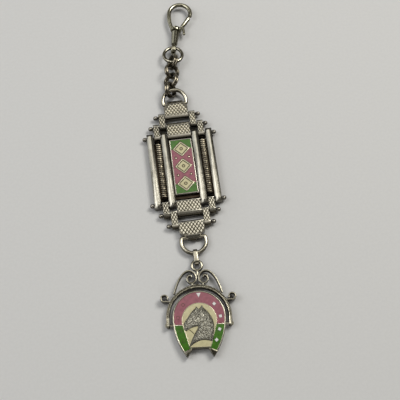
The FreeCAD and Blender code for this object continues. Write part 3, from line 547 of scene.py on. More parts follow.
def rail(node):
    """A long rail with a narrow flat top, sloping sides and hipped ends, over two barrels painted dark
    as shade.
    """
    low, high = box_mm(node)
    width = high.x - low.x
    middle = (low.x + high.x) / 2
    half = width / 2
    crest = half - RAIL_SIDE
    shoulder = high.z - RAIL_DROP
    rings = []
    for y, side_top, ridge, ridge_top in ((-high.y, shoulder - 0.05, 0.03, shoulder),
                                          (-high.y + 1.5, shoulder, crest, high.z),
                                          (high.y - 1.1, shoulder, crest, high.z),
                                          (high.y, shoulder - 0.05, 0.03, shoulder)):
        rings.append([(middle - half, y, low.z), (middle - half, y, side_top),
                      (middle - ridge, y, ridge_top), (middle + ridge, y, ridge_top),
                      (middle + half, y, side_top), (middle + half, y, low.z)])
    bm = bmesh.new()
    rings_to_faces(bm, rings)
    round_over(bm, [edge for edge in bm.edges if edge.calc_face_angle(0) > radians(15)], 0.05)
    # Painted shade on the sides, growing below the shoulder.
    stand_in(node, bm, crease=24.0, flank=0.9, hollow=sunk(shoulder - 0.06, 3.0, 0.93))
    barrels = bmesh.new()
    hinge = joint_mm("upper_inner_hinge")[0].y
    radius = PIN_HEIGHT - 0.1
    for side in (-1, 1):
        lathe(barrels, [(radius - 0.3, 0), (radius, 0.15), (radius, width - 0.15),
                        (radius - 0.3, width)], (low.x, side * hinge, PIN_HEIGHT), X_AXIS)
    # The barrels are painted dark as shade.
    finish_mesh(node + "_barrels", barrels, WORLD, node, hollow=0.85)


COIL_WIRE = 0.29
COIL_PITCH = 0.95
COIL_ROD = 0.7
TURN_STEPS = 22


def coil(side):
    """Close winding of round wire on its rod."""
    spring = side + "_coil_spring"
    low, high = box_mm(spring)
    middle = (low + high) / 2
    radius = (high.x - low.x) / 2 - COIL_WIRE
    steps = round((high.y - low.y) / COIL_PITCH) * TURN_STEPS
    length = high.y - low.y - 2 * COIL_WIRE
    points = []
    for k in range(steps + 1):
        angle = 2 * pi * k / TURN_STEPS
        points.append((middle.x + radius * cos(angle), low.y + COIL_WIRE + length * k / steps,
                       middle.z + radius * sin(angle)))
    bm = bmesh.new()
    sweep(bm, points, round_section(COIL_WIRE, 10))
    # Painted shade between the turns and underneath.
    stand_in(spring, bm, hollow=lambda co: coil_shade(co, middle, radius))
    rod = side + "_coil_rod"
    low, high = box_mm(rod)
    flange = (high.x - low.x) / 2
    length = high.y - low.y
    bm = bmesh.new()
    lathe(bm, [(flange - 0.1, 0), (flange, 0.1), (flange, 0.4), (flange - 0.1, 0.5), (COIL_ROD, 0.52),
               (COIL_ROD, length - 0.52), (flange - 0.1, length - 0.5), (flange, length - 0.4),
               (flange, length - 0.1), (flange - 0.1, length)], (middle.x, low.y, middle.z))
    # The rod is painted near black, as shade in the gaps between the turns.
    stand_in(rod, bm, hollow=0.95)


def coil_shade(co, middle, radius):
    """Painted shade: each turn stays light on its crest, goes black where it meets the next one, and
    darkens underneath.
    """
    out = hypot(co.x - middle.x, co.z - middle.z) - radius
    return min(0.97, max(0.0, 0.75 - out * 3.2) + max(0.0, (middle.z + 0.35 - co.z) * 0.9))


def hinge_pin(node):
    """A pin with a thin collar, a neck and a turned ball on each end."""
    low, high = box_mm(node)
    centre = (low + high) / 2
    ball = (high.z - low.z) / 2
    reach = high.x - ball
    shaft = reach - 0.95
    collar = reach - 0.85
    neck = reach - 0.35
    knob = ball * 0.98
    bm = bmesh.new()
    lathe(bm, [(0.6, -reach), (0.6, 0.95 - reach), (0.6, shaft), (0.6, reach)], centre, X_AXIS, 24)
    profile = [(0.5, collar), (0.86, collar + 0.04), (ball, collar + 0.16), (ball, collar + 0.3),
               (0.86, collar + 0.42), (0.42, collar + 0.5)]
    profile += ball_profile(knob, reach + ball - knob, -pi / 2 * 0.62, 16)
    for side in (-1, 1):
        lathe(bm, profile, centre, (side, 0, 0), 32)

    # Painted shade: dark along the shaft, in the groove of the neck and underneath; the sides are shaded
    # too.
    def shade(co):
        out = abs(co.x - centre.x)
        if out < reach - 0.9:
            return 0.95
        groove = exp(-((out - neck) / 0.12) ** 2)
        return min(0.95, 0.95 * groove + max(0.0, (centre.z + 0.55 - co.z) * 0.9))
    stand_in(node, bm, hollow=shade, flank=0.97)


# ---- enamel plaque

def back_plate():
    bm = bmesh.new()
    cuboid(bm, *box_mm("back_plate"), 0.08)
    stand_in("back_plate", bm)


def wire_loop(bm, points, width, low, high, closed=True):
    """A flat metal wire standing on the enamel along the points."""
    lifted = [Vector((point[0], point[1], (low + high) / 2)) for point in points]
    corner = min(width, high - low) * 0.3
    sweep(bm, lifted, rounded_rectangle(width, high - low, corner, 2), closed, UP)


def flat_strip(bm, path, width, height, corner, steps=3):
    """A level strip with rounded edges along an open path."""
    sweep(bm, path, rounded_rectangle(width, height, corner, steps), False, UP)


def rectangle(left, bottom, right, top):
    return [(left, bottom), (right, bottom), (right, top), (left, top)]


LOZENGE_PITCH = 8.1
LOZENGE_HALF = (3.72, 3.62)
SPOT_OUT = 2.75


def plaque():
    """Green ends, a rose middle, three cream lozenges between metal wires, and small rings."""
    low, high = box_mm("plaque_frame")
    inner_low, inner_high = box_mm("plaque_enamel")
    left, right = inner_low.x, inner_high.x
    floor, surface = inner_low.z, inner_high.z
    outer = rectangle(low.x, low.y, high.x, high.y)
    inner = rectangle(left, inner_low.y, right, inner_high.y)
    bm = bmesh.new()
    rings_to_faces(bm, [[(x, y, z) for x, y in outline] for outline, z in (
        (outer, low.z), (outer, high.z), (inner, high.z), (inner, floor))])
    round_over(bm, [edge for edge in bm.edges
                    if all(abs(vertex.co.z - high.z) < 1e-6 for vertex in edge.verts)], 0.12)
    # A slightly darker tone all over, and painted shade on the sides.
    stand_in("plaque_frame", bm, flank=0.7, hollow=0.3)

    centre_x = (left + right) / 2
    centre_y = (inner_low.y + inner_high.y) / 2
    centres = [centre_y + LOZENGE_PITCH, centre_y, centre_y - LOZENGE_PITCH]

    def flat(name, outline, lift, material):
        part = bmesh.new()
        slab(part, outline, floor + 0.02, surface + lift, 0.03, 1)
        return finish_mesh(name, part, WORLD, "plaque_enamel", material)

    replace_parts(flat("plaque_rose", rectangle(left, centres[2], right, centres[0]), 0.0, ROSE),
                "plaque_enamel")
    flat("plaque_green_top", rectangle(left, centres[0], right, inner_high.y), 0.0, GREEN)
    flat("plaque_green_foot", rectangle(left, inner_low.y, right, centres[2]), 0.0, GREEN)
    wires = bmesh.new()
    lines = bmesh.new()

    def ring(x, y, radius, width):
        wire_loop(lines, arc((x, y, 0), radius, 28), width, surface - 0.02, surface + 0.1)

    for index, y in enumerate(centres):
        def lozenge(share):
            wide, long = (half * share for half in LOZENGE_HALF)
            return [(centre_x, y + long), (centre_x + wide, y),
                    (centre_x, y - long), (centre_x - wide, y)]
        flat("plaque_lozenge_%d" % (index + 1), lozenge(0.98), 0.02, CREAM)
        for target, share, width in ((lines, 1.0, 0.2), (wires, 0.9, 0.42), (lines, 0.75, 0.34)):
            outline = subdivided([Vector((*point, 0)) for point in lozenge(share)], 6)
            wire_loop(target, outline, width, surface - 0.02, surface + 0.06 + 0.02 * (target is lines))
        ring(centre_x, y, 0.56, 0.36)
    for y in ((centres[0] + centres[1]) / 2, (centres[1] + centres[2]) / 2):
        for spot_x in (centre_x - SPOT_OUT, centre_x + SPOT_OUT):
            lathe(wires, [(0.3, -0.05), (0.3, 0.05), (0.22, 0.08)], (spot_x, y, surface), UP, 20)
            ring(spot_x, y, 0.55, 0.16)
    finish_mesh("plaque_wires", wires, WORLD, "plaque_enamel", BRIGHT, crease=50.0)
    finish_mesh("plaque_lines", lines, WORLD, "plaque_enamel", LINE, crease=50.0)


# ---- rings and chain

def ring_fit(node):
    """Centre, axis, radius and wire radius of a CAD ring, from its own vertices."""
    points = np.array([vertex.co for vertex in frame["nodes"][node].data.vertices], float) / MM
    centre = (points.min(0) + points.max(0)) / 2
    for _ in range(3):
        spread = points - centre
        values, vectors = np.linalg.eigh(spread.T @ spread)
        shares = spread @ vectors
        centre = centre + vectors @ ((shares.min(0) + shares.max(0)) / 2)
    shares = (points - centre) @ vectors
    wire = (shares[:, 0].max() - shares[:, 0].min()) / 2
    outside = np.hypot(shares[:, 1], shares[:, 2]).max()
    return Vector(centre), Vector(vectors[:, 0]), Vector(vectors[:, 1]), outside - wire, wire


WIRE_FIT = 0.995
D_WIRE = 0.85
D_RISE = 1.8


def round_ring(node):
    """A wire ring with a closed joint in it."""
    centre, normal, across, radius, wire = ring_fit(node)
    points = arc(centre, radius, 120, across=across, along=normal.cross(across))
    sizes = [1.0] * len(points)
    sizes[3:6] = 0.985, 0.93, 0.985
    bm = bmesh.new()
    sweep(bm, points, round_section(wire * WIRE_FIT, 22), True, normal, sizes)
    # Painted shade on the sides and underneath.
    stand_in(node, bm, crease=60.0, flank=0.9, hollow=sunk(centre.z + 0.6, 0.30, 0.85))


def d_ring(node, joint):
    """A round ring that runs into a straight bar held in the end plate."""
    bar = joint_mm(joint)[0]
    low, high = box_mm(node)
    sign = 1 if high.y > abs(low.y) else -1
    radius = (high.x - low.x) / 2 - D_WIRE
    climb = high.z - D_WIRE - bar.z if sign > 0 else 0.0
    lift = asin(max(0.0, min(1.0, climb / (D_RISE + radius))))
    along = Vector((0, sign * cos(lift), sin(lift)))
    dip = asin(D_RISE / radius)
    half = radius * cos(dip)
    points = arc(bar + along * D_RISE, radius, 90, -dip, pi + dip, X_AXIS, along)
    points += [bar + Vector((-half + 2 * half * k / 10, 0, 0)) for k in range(1, 10)]
    bm = bmesh.new()
    sweep(bm, points, round_section(D_WIRE * WIRE_FIT, 24), True, X_AXIS.cross(along) * sign)
    # Painted shade on the sides and underneath.
    stand_in(node, bm, crease=60.0, flank=0.9, hollow=sunk(bar.z + 0.45, 0.5, 0.85))


# ---- watch clip

SPIN_FROM_EYE = 3.1
SHANK_START, SHANK_END = 3.15, 10.5
SHANK_THIN, SHANK_SPREAD = 1.4, 0.45
SHANK_RIB = 0.5
FLUTES = 10
BOW_CENTRE = Vector((0.95, 20.5, 0))
BOW_RADIUS, BOW_WIRE = 4.9, 0.95
LEG_RADIUS = 17.9


def clip_axes():
    """Own axes of the clip: y along the shank, from the swivel's hole."""
    point, axis = joint_mm("swivel_spin")
    return lying(point - axis * SPIN_FROM_EYE, axis)


def shank_rings():
    """Rings of a fluted shank that widens in fine ribs towards the collar."""
    stations = [(SHANK_START, 1.25), (SHANK_START + 0.2, SHANK_THIN)]
    count = 2 * round((SHANK_END - SHANK_START - 1.0) / SHANK_RIB)
    for k in range(count + 1):
        share = k / count
        stations.append((SHANK_START + 0.3 + (SHANK_END - SHANK_START - 0.95) * share,
                         SHANK_THIN + SHANK_SPREAD * share - 0.07 * (k % 2)))
    stations += [(SHANK_END - 0.4, 1.7), (SHANK_END - 0.15, 1.7)]
    rings = []
    for y, radius in stations:
        ring = []
        for k in range(FLUTES * 4):
            angle = 2 * pi * k / (FLUTES * 4)
            flute = 1.0 - 0.07 * abs(sin(angle * FLUTES / 2)) ** 0.6
            ring.append((radius * flute * cos(angle), y, radius * flute * sin(angle)))
        rings.append(ring)
    return rings


def clip(where):
    """Shank, collar and bow of the watch clip."""
    bm = bmesh.new()
    rings_to_faces(bm, shank_rings())
    collar = [(1.5, -0.1), (2.05, -0.05), (2.4, 0.3), (2.45, 0.6), (2.3, 0.9), (2.12, 1.0), (2.25, 1.12),
              (2.35, 1.35), (2.2, 1.7), (1.6, 1.9), (0.3, 1.92)]
    lathe(bm, [(radius, SHANK_END + along) for radius, along in collar])
    # Painted shade on the sides, between the ribs, in the grooves and underneath.
    body = finish_mesh("clip_shank_look", bm, where, "clip_body", crease=28.0, flank=0.85,
                       hollow=shank_shade)
    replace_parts(body, "clip_body")
    leg_centre = BOW_CENTRE - X_AXIS * BOW_RADIUS + X_AXIS * LEG_RADIUS
    points = arc(leg_centre, LEG_RADIUS, 26, radians(210), pi)
    points += arc(BOW_CENTRE, BOW_RADIUS, 64, pi, radians(-14))[1:]
    sizes = [0.9 + 0.1 * min(1.0, k / 18) for k in range(len(points))]
    bow = bmesh.new()
    sweep(bow, points, round_section(BOW_WIRE, 24), False, UP, sizes)
    # Painted shade on the sides and underneath.
    finish_mesh("clip_bow_look", bow, where, "clip_body", crease=50.0, flank=0.85,
                hollow=sunk(-0.15, 0.8, 0.7))


def shank_shade(co):
    """Painted shade under the shank, between its ribs and in the grooves beside the collar."""
    along = co.y - SHANK_END
    groove = exp(-((along + 0.1) / 0.18) ** 2) + exp(-((along - 1.0) / 0.1) ** 2)
    crest = SHANK_THIN + SHANK_SPREAD * (co.y - 3.45) / (SHANK_END - 4.1)
    ribbed = 3.3 < co.y < SHANK_END - 0.7
    rib_shade = max(0.0, crest - 0.03 - hypot(co.x, co.z)) * 4.5 if ribbed else 0.0
    return min(0.9, 0.7 * groove + rib_shade + max(0.0, (-0.3 - co.z) * 0.5))


GATE_PIVOT = Vector((1.85, 11.5, 0))
GATE_TIP = Vector((5.3, 18.2, 0))
GATE_ROD = 0.92
TANG_HALF = (0.6, 0.54)
THUMB_END = Vector((3.95, 9.45, 0))


def gate(where):
    """The gate's rod, its tang at the pivot, and its thumb lug."""
    direction = (GATE_TIP - GATE_PIVOT).normalized()
    across = Vector((-direction.y, direction.x, 0))
    root = GATE_PIVOT + direction * 2.1
    length = (GATE_TIP - root).length
    bm = bmesh.new()
    lathe(bm, [(GATE_ROD * 0.45, -0.75), (GATE_ROD * 0.8, -0.5), (GATE_ROD, 0.0),
               (GATE_ROD, length - 0.12), (GATE_ROD - 0.14, length)], root, direction, 32)
    wide, high = TANG_HALF
    slab(bm, [GATE_PIVOT + across * wide, root + across * wide, root - across * wide,
              GATE_PIVOT - across * wide], -high, high)
    lathe(bm, [(0.85, -high), (0.85, high)], GATE_PIVOT, UP, 32)
    start = root - across * 0.25
    sweep(bm, spline([start, start + (THUMB_END - root) * 0.5, THUMB_END], 8), round_section(0.58, 18))
    lathe(bm, ball_profile(0.6, 0.0, -pi / 2, 10), THUMB_END, (THUMB_END - start).normalized(), 20)
    # Painted shade on the sides and underneath.
    stand_in("clip_gate", bm, where, crease=45.0, flank=0.85, hollow=sunk(-0.1, 0.8, 0.7))


def swivel_look(where):
    """The swivel's long loop and its plain neck."""
    low, high = 0.3, 1.3
    inside, outside, half = 1.0, 1.75, 1.0
    bm = bmesh.new()
    long_loop(bm, low, high, 0, (inside + outside) / 2,
              rounded_rectangle(outside - inside, 2 * half, 0.32, 4), 24)
    crown = high + outside
    lathe(bm, [(0.6, crown - 0.4), (0.9, crown - 0.3), (0.9, crown + 0.08), (0.5, crown + 0.1),
               (0.5, crown + 3.0)], sides=40)
    # Painted shade on the sides and underneath.
    stand_in("swivel_eye", bm, where, crease=50.0, flank=0.6, hollow=sunk(0.6, 0.45, 0.8))


# ---- connecting link and pendant

LINK_THICK = 0.62


def connecting_link():
    low, high = box_mm("connecting_link")
    height = (low.z + high.z) / 2
    outside = (high.z - low.z) / 2
    bm = bmesh.new()
    long_loop(bm, low.y + outside, high.y - outside, height, outside - LINK_THICK / 2,
              rounded_rectangle(LINK_THICK, high.x - low.x, 0.26, 4), 20)
    # Painted shade on the sides and underneath.
    stand_in("connecting_link", bm, crease=50.0, flank=0.8, hollow=sunk(height + 1.0, 0.5, 0.85))


SIDES = (("left", -1), ("right", 1))
LOOP_RADIUS = 2.0
ARCH_CENTRE = Vector((0, -20.9, 0))
ARCH_OUTER, ARCH_INNER, ARCH_DEPTH, ARCH_FOOT = 12.9, 11.5, 3.0, -24.2


def pendant_axes():
    """Own axes of the pendant: origin in the middle of its loop, y towards the strap."""
    top, axis = joint_mm("pendant_hinge")
    along = UP.cross(axis)
    if along.y < 0:
        along = -along
    return lying(top - along * LOOP_RADIUS, along)


SCROLL = [(9.5, -11.5), (8.7, -8.9), (7.5, -6.0), (5.9, -3.6), (4.3, -2.4), (2.75, -2.3), (1.4, -3.15),
          (0.66, -4.7), (0.85, -6.3), (2.0, -7.3), (3.4, -6.95), (4.1, -5.8), (3.75, -4.6),
          (2.8, -4.2), (2.25, -4.9)]


def pendant_frame(where):
    """The pendant's loop on its foot, then each side's scroll, curl and pivot pin."""
    bm = bmesh.new()
    sweep(bm, arc((0, 0, 0), LOOP_RADIUS, 72), round_section(0.6, 20), True, UP)
    # Painted shade on the sides and underneath.
    stand_in("pendant_loop", bm, where, crease=60.0, flank=0.9, hollow=sunk(-0.1, 0.9, 0.7))
    foot = bmesh.new()
    cuboid(foot, (-0.33, -4.6, -0.6), (0.33, -2.2, 0.6), 0.08)
    finish_mesh("pendant_loop_foot", foot, where, "pendant_loop")
    for side, sign in SIDES:
        path = [point for point in spline([(sign * x, y) for x, y in SCROLL], 12)
                if (point - ARCH_CENTRE).length > ARCH_OUTER - 0.15]
        strip = bmesh.new()
        flat_strip(strip, path, 0.78, 2.0, 0.2)
        lathe(strip, [(0.25, -1.0), (0.42, -0.9), (0.42, 0.9), (0.25, 1.0)], (sign * 2.15, -7.85, 0),
              UP, 24)
        # Painted shade on the walls, and a painted shadow on the inner part of the top.
        stand_in(side + "_scroll", strip, where, crease=50.0, flank=0.98, hollow=strip_shade(path, sign))
        curl(where, side, sign)
        pivot(where, side, sign)


def strip_shade(path, sign):
    """Painted shade down a strip's walls, and a painted shadow on the part of its top that lies inside
    the curve.
    """
    line = np.array([(point.x, point.y) for point in path])
    step = np.gradient(line, axis=0)

    def shade(co):
        away = np.array((co.x, co.y)) - line
        k = int(np.argmin((away ** 2).sum(1)))
        inside = sign * (step[k, 0] * away[k, 1] - step[k, 1] * away[k, 0]) / np.hypot(*step[k])
        return float(min(0.97, max(0.0, (0.95 - co.z) * 2.0) + (0.9 if inside > 0.1 else 0.0)))
    return shade


CURL_CENTRE = (13.4, -13.2)


def curl(where, side, sign):
    """A rolled tube with a bore painted dark as shade, on a short neck."""
    centre = Vector((sign * CURL_CENTRE[0], CURL_CENTRE[1], 0))
    inward = (ARCH_CENTRE - centre).normalized()
    start = atan2(inward.y, inward.x)
    path = [centre + inward * 3.05 + Vector((-inward.y, inward.x, 0)) * (sign * 0.6 * k / 6)
            - inward * (1.5 * k / 6) for k in range(6)]
    path += arc(centre, 1.33, 48, start + sign * 0.75, start + sign * (FULL_TURN - 0.1))
    bm = bmesh.new()
    flat_strip(bm, path, 0.52, 3.0, 0.18)
    # Painted shade in the bore, down the outside and on the sides.
    stand_in(side + "_curl", bm, where, crease=50.0, flank=0.8, hollow=lambda co: curl_shade(co, centre))


def curl_shade(co, centre):
    """Painted shade: black in the bore, and darker down the outside."""
    if (Vector((co.x, co.y, 0)) - centre).length < 1.2:
        return 0.98 * min(1.0, max(0.0, (1.45 - co.z) * 2.0))
    return max(0.0, (1.2 - co.z) * 0.5)


def pivot(where, side, sign):
    """A pivot pin of the spinner, with a domed head outside the arch."""
    bm = bmesh.new()
    lathe(bm, [(0.5, 8.95), (0.5, 12.7), (0.78, 12.88), (0.8, 13.05), (0.62, 13.28), (0.3, 13.38)],
          (0, -23.8, 0), (sign, 0, 0), 28)
    stand_in(side + "_pivot_pin", bm, where)


def arch(where):
    """The arch: two milled beads with a groove between them, closed round at its feet."""
    middle = (ARCH_OUTER + ARCH_INNER) / 2
    half = (ARCH_OUTER - ARCH_INNER) / 2
    top = ARCH_DEPTH / 2
    crown = ARCH_CENTRE.y
    path = [Vector((middle, ARCH_FOOT + (crown - ARCH_FOOT) * k / 8, 0)) for k in range(8)]
    path += arc(ARCH_CENTRE, middle, 120, 0, pi)
    path += [Vector((-middle, crown + (ARCH_FOOT - crown) * k / 8, 0)) for k in range(1, 9)]
    edge = [(half, -top + 0.15), (half, top - 0.45), (half - 0.1, top - 0.2), (half - 0.28, top - 0.06),
            (0.2, top - 0.1), (0.1, top - 0.38)]
    section = edge + [(-across, height) for across, height in edge[::-1]]
    section += [(-half + 0.15, -top), (half - 0.15, -top)]
    bm = bmesh.new()
    sweep(bm, path, section, False, UP)
    for side in (-1, 1):
        lathe(bm, [(half - 0.15, -top), (half, -top + 0.15), (half, top - 0.4), (half - 0.2, top - 0.12),
                   (0.1, top - 0.1)], (side * middle, ARCH_FOOT, 0), UP, 28)
    # Painted shade on the sides, down the walls, in the groove and at the feet.
    stand_in("pendant_arch", bm, where, crease=40.0, flank=0.92, hollow=lambda co: arch_shade(co, top))
    beads = bmesh.new()
    for radius in (middle + 0.38, middle - 0.38):
        count = int(pi * radius / 0.62)
        for k in range(count + 1):
            angle = pi * k / count
            spot = ARCH_CENTRE + Vector((cos(angle), sin(angle), 0)) * radius
            bead(beads, spot + UP * (top - 0.12), 0.27)
    # Painted shade on the lower parts of the beads.
    finish_mesh("pendant_arch_beads", beads, where, "pendant_arch", crease=70.0,
                hollow=sunk(top + 0.02, 3.0, 0.8))


def arch_shade(co, top):
    # Painted shade: dark down the walls, in the groove on top and at the feet.
    if co.z < top - 0.6:
        return 0.9
    return min(0.9, max(0.0, (top - 0.14 - co.z) * 2.2, (-24.3 - co.y) * 1.2))


def bead(bm, centre, radius):
    """A small low dome."""
    made = bmesh.ops.create_uvsphere(bm, u_segments=10, v_segments=6, radius=radius)
    bmesh.ops.translate(bm, verts=made["verts"], vec=centre)


# ---- spinner

MEDAL_CENTRE = -21.0
MEDAL_RADIUS = 10.4
MEDAL_SIDE = 25.5
NOTCH_Y = -33.4
TIP_Y = -36.6
HEEL_Y = -34.3
NOTCH_HALF = 3.15
FACE = 1.3
RIM_HEIGHT = FACE - 0.28
ENAMEL_INSET = 0.55
ENAMEL_FOOT = NOTCH_Y + 0.5
GREEN_TOP = -24.2
FIELD_Y, FIELD_RADIUS = -22.3, 6.75
ENAMEL_TOP = 1.25
GROUND = ENAMEL_TOP - 0.08


def horseshoe_side(inset, foot):
    """Right side of the outline from the foot up to the round top's side, then half of the top."""
    side_centre = MEDAL_RADIUS - MEDAL_SIDE
    fall = asin((MEDAL_CENTRE - foot) / (MEDAL_SIDE - inset))
    points = arc((side_centre, MEDAL_CENTRE, 0), MEDAL_SIDE - inset, 26, -fall, 0.0)
    return points + arc((0, MEDAL_CENTRE, 0), MEDAL_RADIUS - inset, 40, 0.0, pi / 2)[1:]


def whole_outline(inset, foot):
    right = horseshoe_side(inset, foot)
    return right + [Vector((-point.x, point.y, 0)) for point in right[::-1][1:]]


def medallion(where):
    """The horseshoe body with its rim, heels and notch bar, then its two faces."""
    outer = whole_outline(0.0, TIP_Y)
    outer += [Vector((-NOTCH_HALF, NOTCH_Y, 0)), Vector((NOTCH_HALF, NOTCH_Y, 0))]
    bm = bmesh.new()
    slab(bm, outer, -FACE + 0.05, FACE - 0.42, 0.1)
    # Painted shade on the sides and lower down.
    stand_in("medallion_body", bm, where, crease=30.0, flank=0.85, hollow=sunk(0.7, 0.45, 0.75))
    rim = bmesh.new()
    flat_strip(rim, [point + UP * RIM_HEIGHT for point in whole_outline(0.3, HEEL_Y)], 0.56, 0.5, 0.2, 4)
    heels = bmesh.new()
    for side in (-1, 1):
        slab(heels, heel(side), FACE - 0.6, FACE - 0.04, 0.08)
    bar = [Vector((side * (NOTCH_HALF + 0.35), NOTCH_Y + 0.22, RIM_HEIGHT)) for side in (-1, 1)]
    flat_strip(heels, bar, 0.5, 0.5, 0.15)
    # Painted shade darkens the notch bar all over, a plain darker tone the heels, and painted shade
    # their sides.
    finish_mesh("medallion_heels", heels, where, "medallion_body", crease=35.0, flank=0.95,
                hollow=0.75)
    # Painted shade on the sides of the rim.
    finish_mesh("medallion_rim", rim, where, "medallion_body", crease=35.0, flank=0.8)
    enamel_face(where)
    back_face(where)


def inner_side(side):
    """The green's inner edge, under the cream, and its slanting foot."""
    return [(side * 2.0, GREEN_TOP), (side * 2.0, ENAMEL_FOOT), (side * 3.4, ENAMEL_FOOT),
            (side * (NOTCH_HALF + 1.05), ENAMEL_FOOT - 0.45)]


def heel(side):
    """The pointed heel below the enamel's foot."""
    points = [(side * point.x, point.y) for point in horseshoe_side(0.05, TIP_Y + 0.05)
              if point.y < HEEL_Y]
    points += [(side * (NOTCH_HALF + out), y) for out, y in (
        (1.05, ENAMEL_FOOT - 0.5), (0.3, ENAMEL_FOOT + 0.05), (0.05, NOTCH_Y + 0.05))]
    return points[::-1] if side < 0 else points


NAILS = ((6.1, -16.1), (8.3, -21.1), (7.7, -26.2), (6.3, -30.3))
NAIL_HALF = 0.8
TOP_NAIL = ((1.0, -11.5), (-0.8, -11.5), (0.1, -13.3))


def enamel_face(where):
    """Rose top, green sides, cream field, and the metal lines and nails between them."""
    def part(name, outline, material, high=GROUND):
        bm = bmesh.new()
        slab(bm, outline, ENAMEL_TOP - 0.33, high, 0.03, 1)
        return finish_mesh(name, bm, where, "medallion_enamel", material, crease=40.0)

    upper = [point for point in whole_outline(ENAMEL_INSET, ENAMEL_FOOT) if point.y >= GREEN_TOP]
    lower = [point for point in whole_outline(ENAMEL_INSET, HEEL_Y) if point.y <= GREEN_TOP]
    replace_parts(part("medallion_rose", upper, ROSE), "medallion_enamel")
    part("medallion_green_right", inner_side(1) + [p for p in lower if p.x > 0], GREEN)
    part("medallion_green_left", [p for p in lower if p.x < 0] + inner_side(-1)[::-1], GREEN)
    field = field_outline()
    part("medallion_cream", field, CREAM, GROUND + 0.02)

    wires = bmesh.new()
    nails = bmesh.new()
    lines = bmesh.new()
    wire_loop(wires, field, 0.24, GROUND - 0.02, GROUND + 0.07)
    for side in (-1, 1):
        wire_loop(wires, [(side * x, GREEN_TOP) for x in (6.2, 7.2, 8.2, 9.4)], 0.16,
                  GROUND - 0.02, GROUND + 0.05, closed=False)
        for x, y in NAILS:
            spin = atan2(y - FIELD_Y, side * x)
            turns = [spin + pi * (0.25 + k / 2) for k in range(4)]
            corners = [Vector((side * x + NAIL_HALF * cos(turn), y + NAIL_HALF * sin(turn), 0))
                       for turn in turns]
            if side > 0:
                slab(nails, corners, GROUND - 0.05, GROUND + 0.09, 0.04, 1)
            wire_loop(lines, subdivided(corners, 4), 0.14, GROUND - 0.02, GROUND + 0.05)
    slab(nails, TOP_NAIL, GROUND - 0.05, GROUND + 0.07, 0.03, 1)
    for name, bm, material in (("nails", nails, NAIL), ("lines", lines, LINE), ("wires", wires, BRIGHT)):
        finish_mesh("medallion_" + name, bm, where, "medallion_enamel", material, crease=40.0)


def field_outline():
    """Round top and straight sides of the cream field."""
    start = radians(-14)
    points = arc((0, FIELD_Y, 0), FIELD_RADIUS, 64, start, pi - start)
    feet = [Vector((x, ENAMEL_FOOT + 0.12, 0)) for x in (-4.1, 4.1)]
    stops = [points[-1], *feet, points[0]]
    below = [first.lerp(second, k / 8) for first, second in zip(stops, stops[1:]) for k in range(8)]
    return points + below[1:]


def back_face(where):
    """The hidden back, guessed: shallow engraved rays inside a plain rim."""
    edge = whole_outline(ENAMEL_INSET, ENAMEL_FOOT)
    middle = Vector((0, -23.0, 0))
    rings = [[middle.lerp(point, share) + UP * height for point in edge]
             for share, height in ((1.0, -ENAMEL_TOP), (0.97, -ENAMEL_TOP - 0.02))]
    for layer in range(1, 12):
        ring = []
        for index, point in enumerate(edge):
            wave = 0.025 * cos(pi * (index + layer))
            ring.append(middle.lerp(point, 0.97 - 0.08 * layer) + UP * (-ENAMEL_TOP - 0.02 + wave))
        rings.append(ring)
    bm = bmesh.new()
    rings_to_faces(bm, rings, first_cap=False)
    stand_in("medallion_back", bm, where, crease=20.0)


# ---- horse head

HORSE = [(-1.0, -16.9), (-0.2, -17.8), (0.5, -17.4), (1.2, -16.5), (1.9, -17.5), (3.3, -18.9),
         (4.6, -20.8), (5.5, -23.0), (5.7, -25.4), (5.4, -28.0), (4.9, -30.6), (3.4, -30.5),
         (1.4, -30.2), (-0.6, -30.6), (-2.6, -31.6), (-4.5, -33.0), (-3.7, -31.0), (-2.9, -29.2),
         (-1.9, -27.4), (-0.6, -25.0), (-1.8, -25.0), (-3.4, -25.5), (-4.4, -25.9), (-5.1, -26.5),
         (-5.9, -26.2), (-6.1, -25.2), (-6.2, -23.9), (-5.6, -22.6), (-4.5, -21.2), (-3.5, -19.7),
         (-2.4, -18.4), (-1.5, -17.7)]


def horse_head(where):
    """Low relief of a horse's head in a bridle, facing left: cheek, eye, nostril, ears and mane."""
    outline = [np.array((p.x, p.y)) for p in spline(HORSE, 6, True)]
    low = np.min(outline, 0) - 0.1
    high = np.max(outline, 0) + 0.1
    step = 0.1
    grid_x, grid_y = np.meshgrid(np.arange(low[0], high[0], step), np.arange(low[1], high[1], step))
    inside, distance = outline_distance(grid_x, grid_y, outline)
    height = horse_height(grid_x, grid_y, distance)
    bm = bmesh.new()
    made = {}
    rows, columns = grid_x.shape
    for spot in np.ndindex(rows, columns):
        if inside[spot]:
            made[spot] = bm.verts.new((grid_x[spot], grid_y[spot], GROUND + height[spot]))
    for row, column in np.ndindex(rows - 1, columns - 1):
        keys = [(row, column), (row, column + 1), (row + 1, column + 1), (row + 1, column)]
        found = [made[key] for key in keys if key in made]
        if len(found) >= 3:
            bm.faces.new(found)
    loose = [vertex for vertex in bm.verts if not vertex.link_faces]
    bmesh.ops.delete(bm, geom=loose, context="VERTS")
    skirt = bmesh.ops.extrude_edge_only(bm, edges=[edge for edge in bm.edges if edge.is_boundary])
    for vertex in only(skirt["geom"], bmesh.types.BMVert):
        vertex.co.z = GROUND - 0.05
    # Painted shade: the relief darkens towards the ground, deepest in its hollows and at its edges.
    stand_in("horse_head", bm, where, crease=60.0,
             hollow=lambda co: min(0.92, max(0.0, 1.0 - (co.z - GROUND) * 1.7)))
    bridle(where)


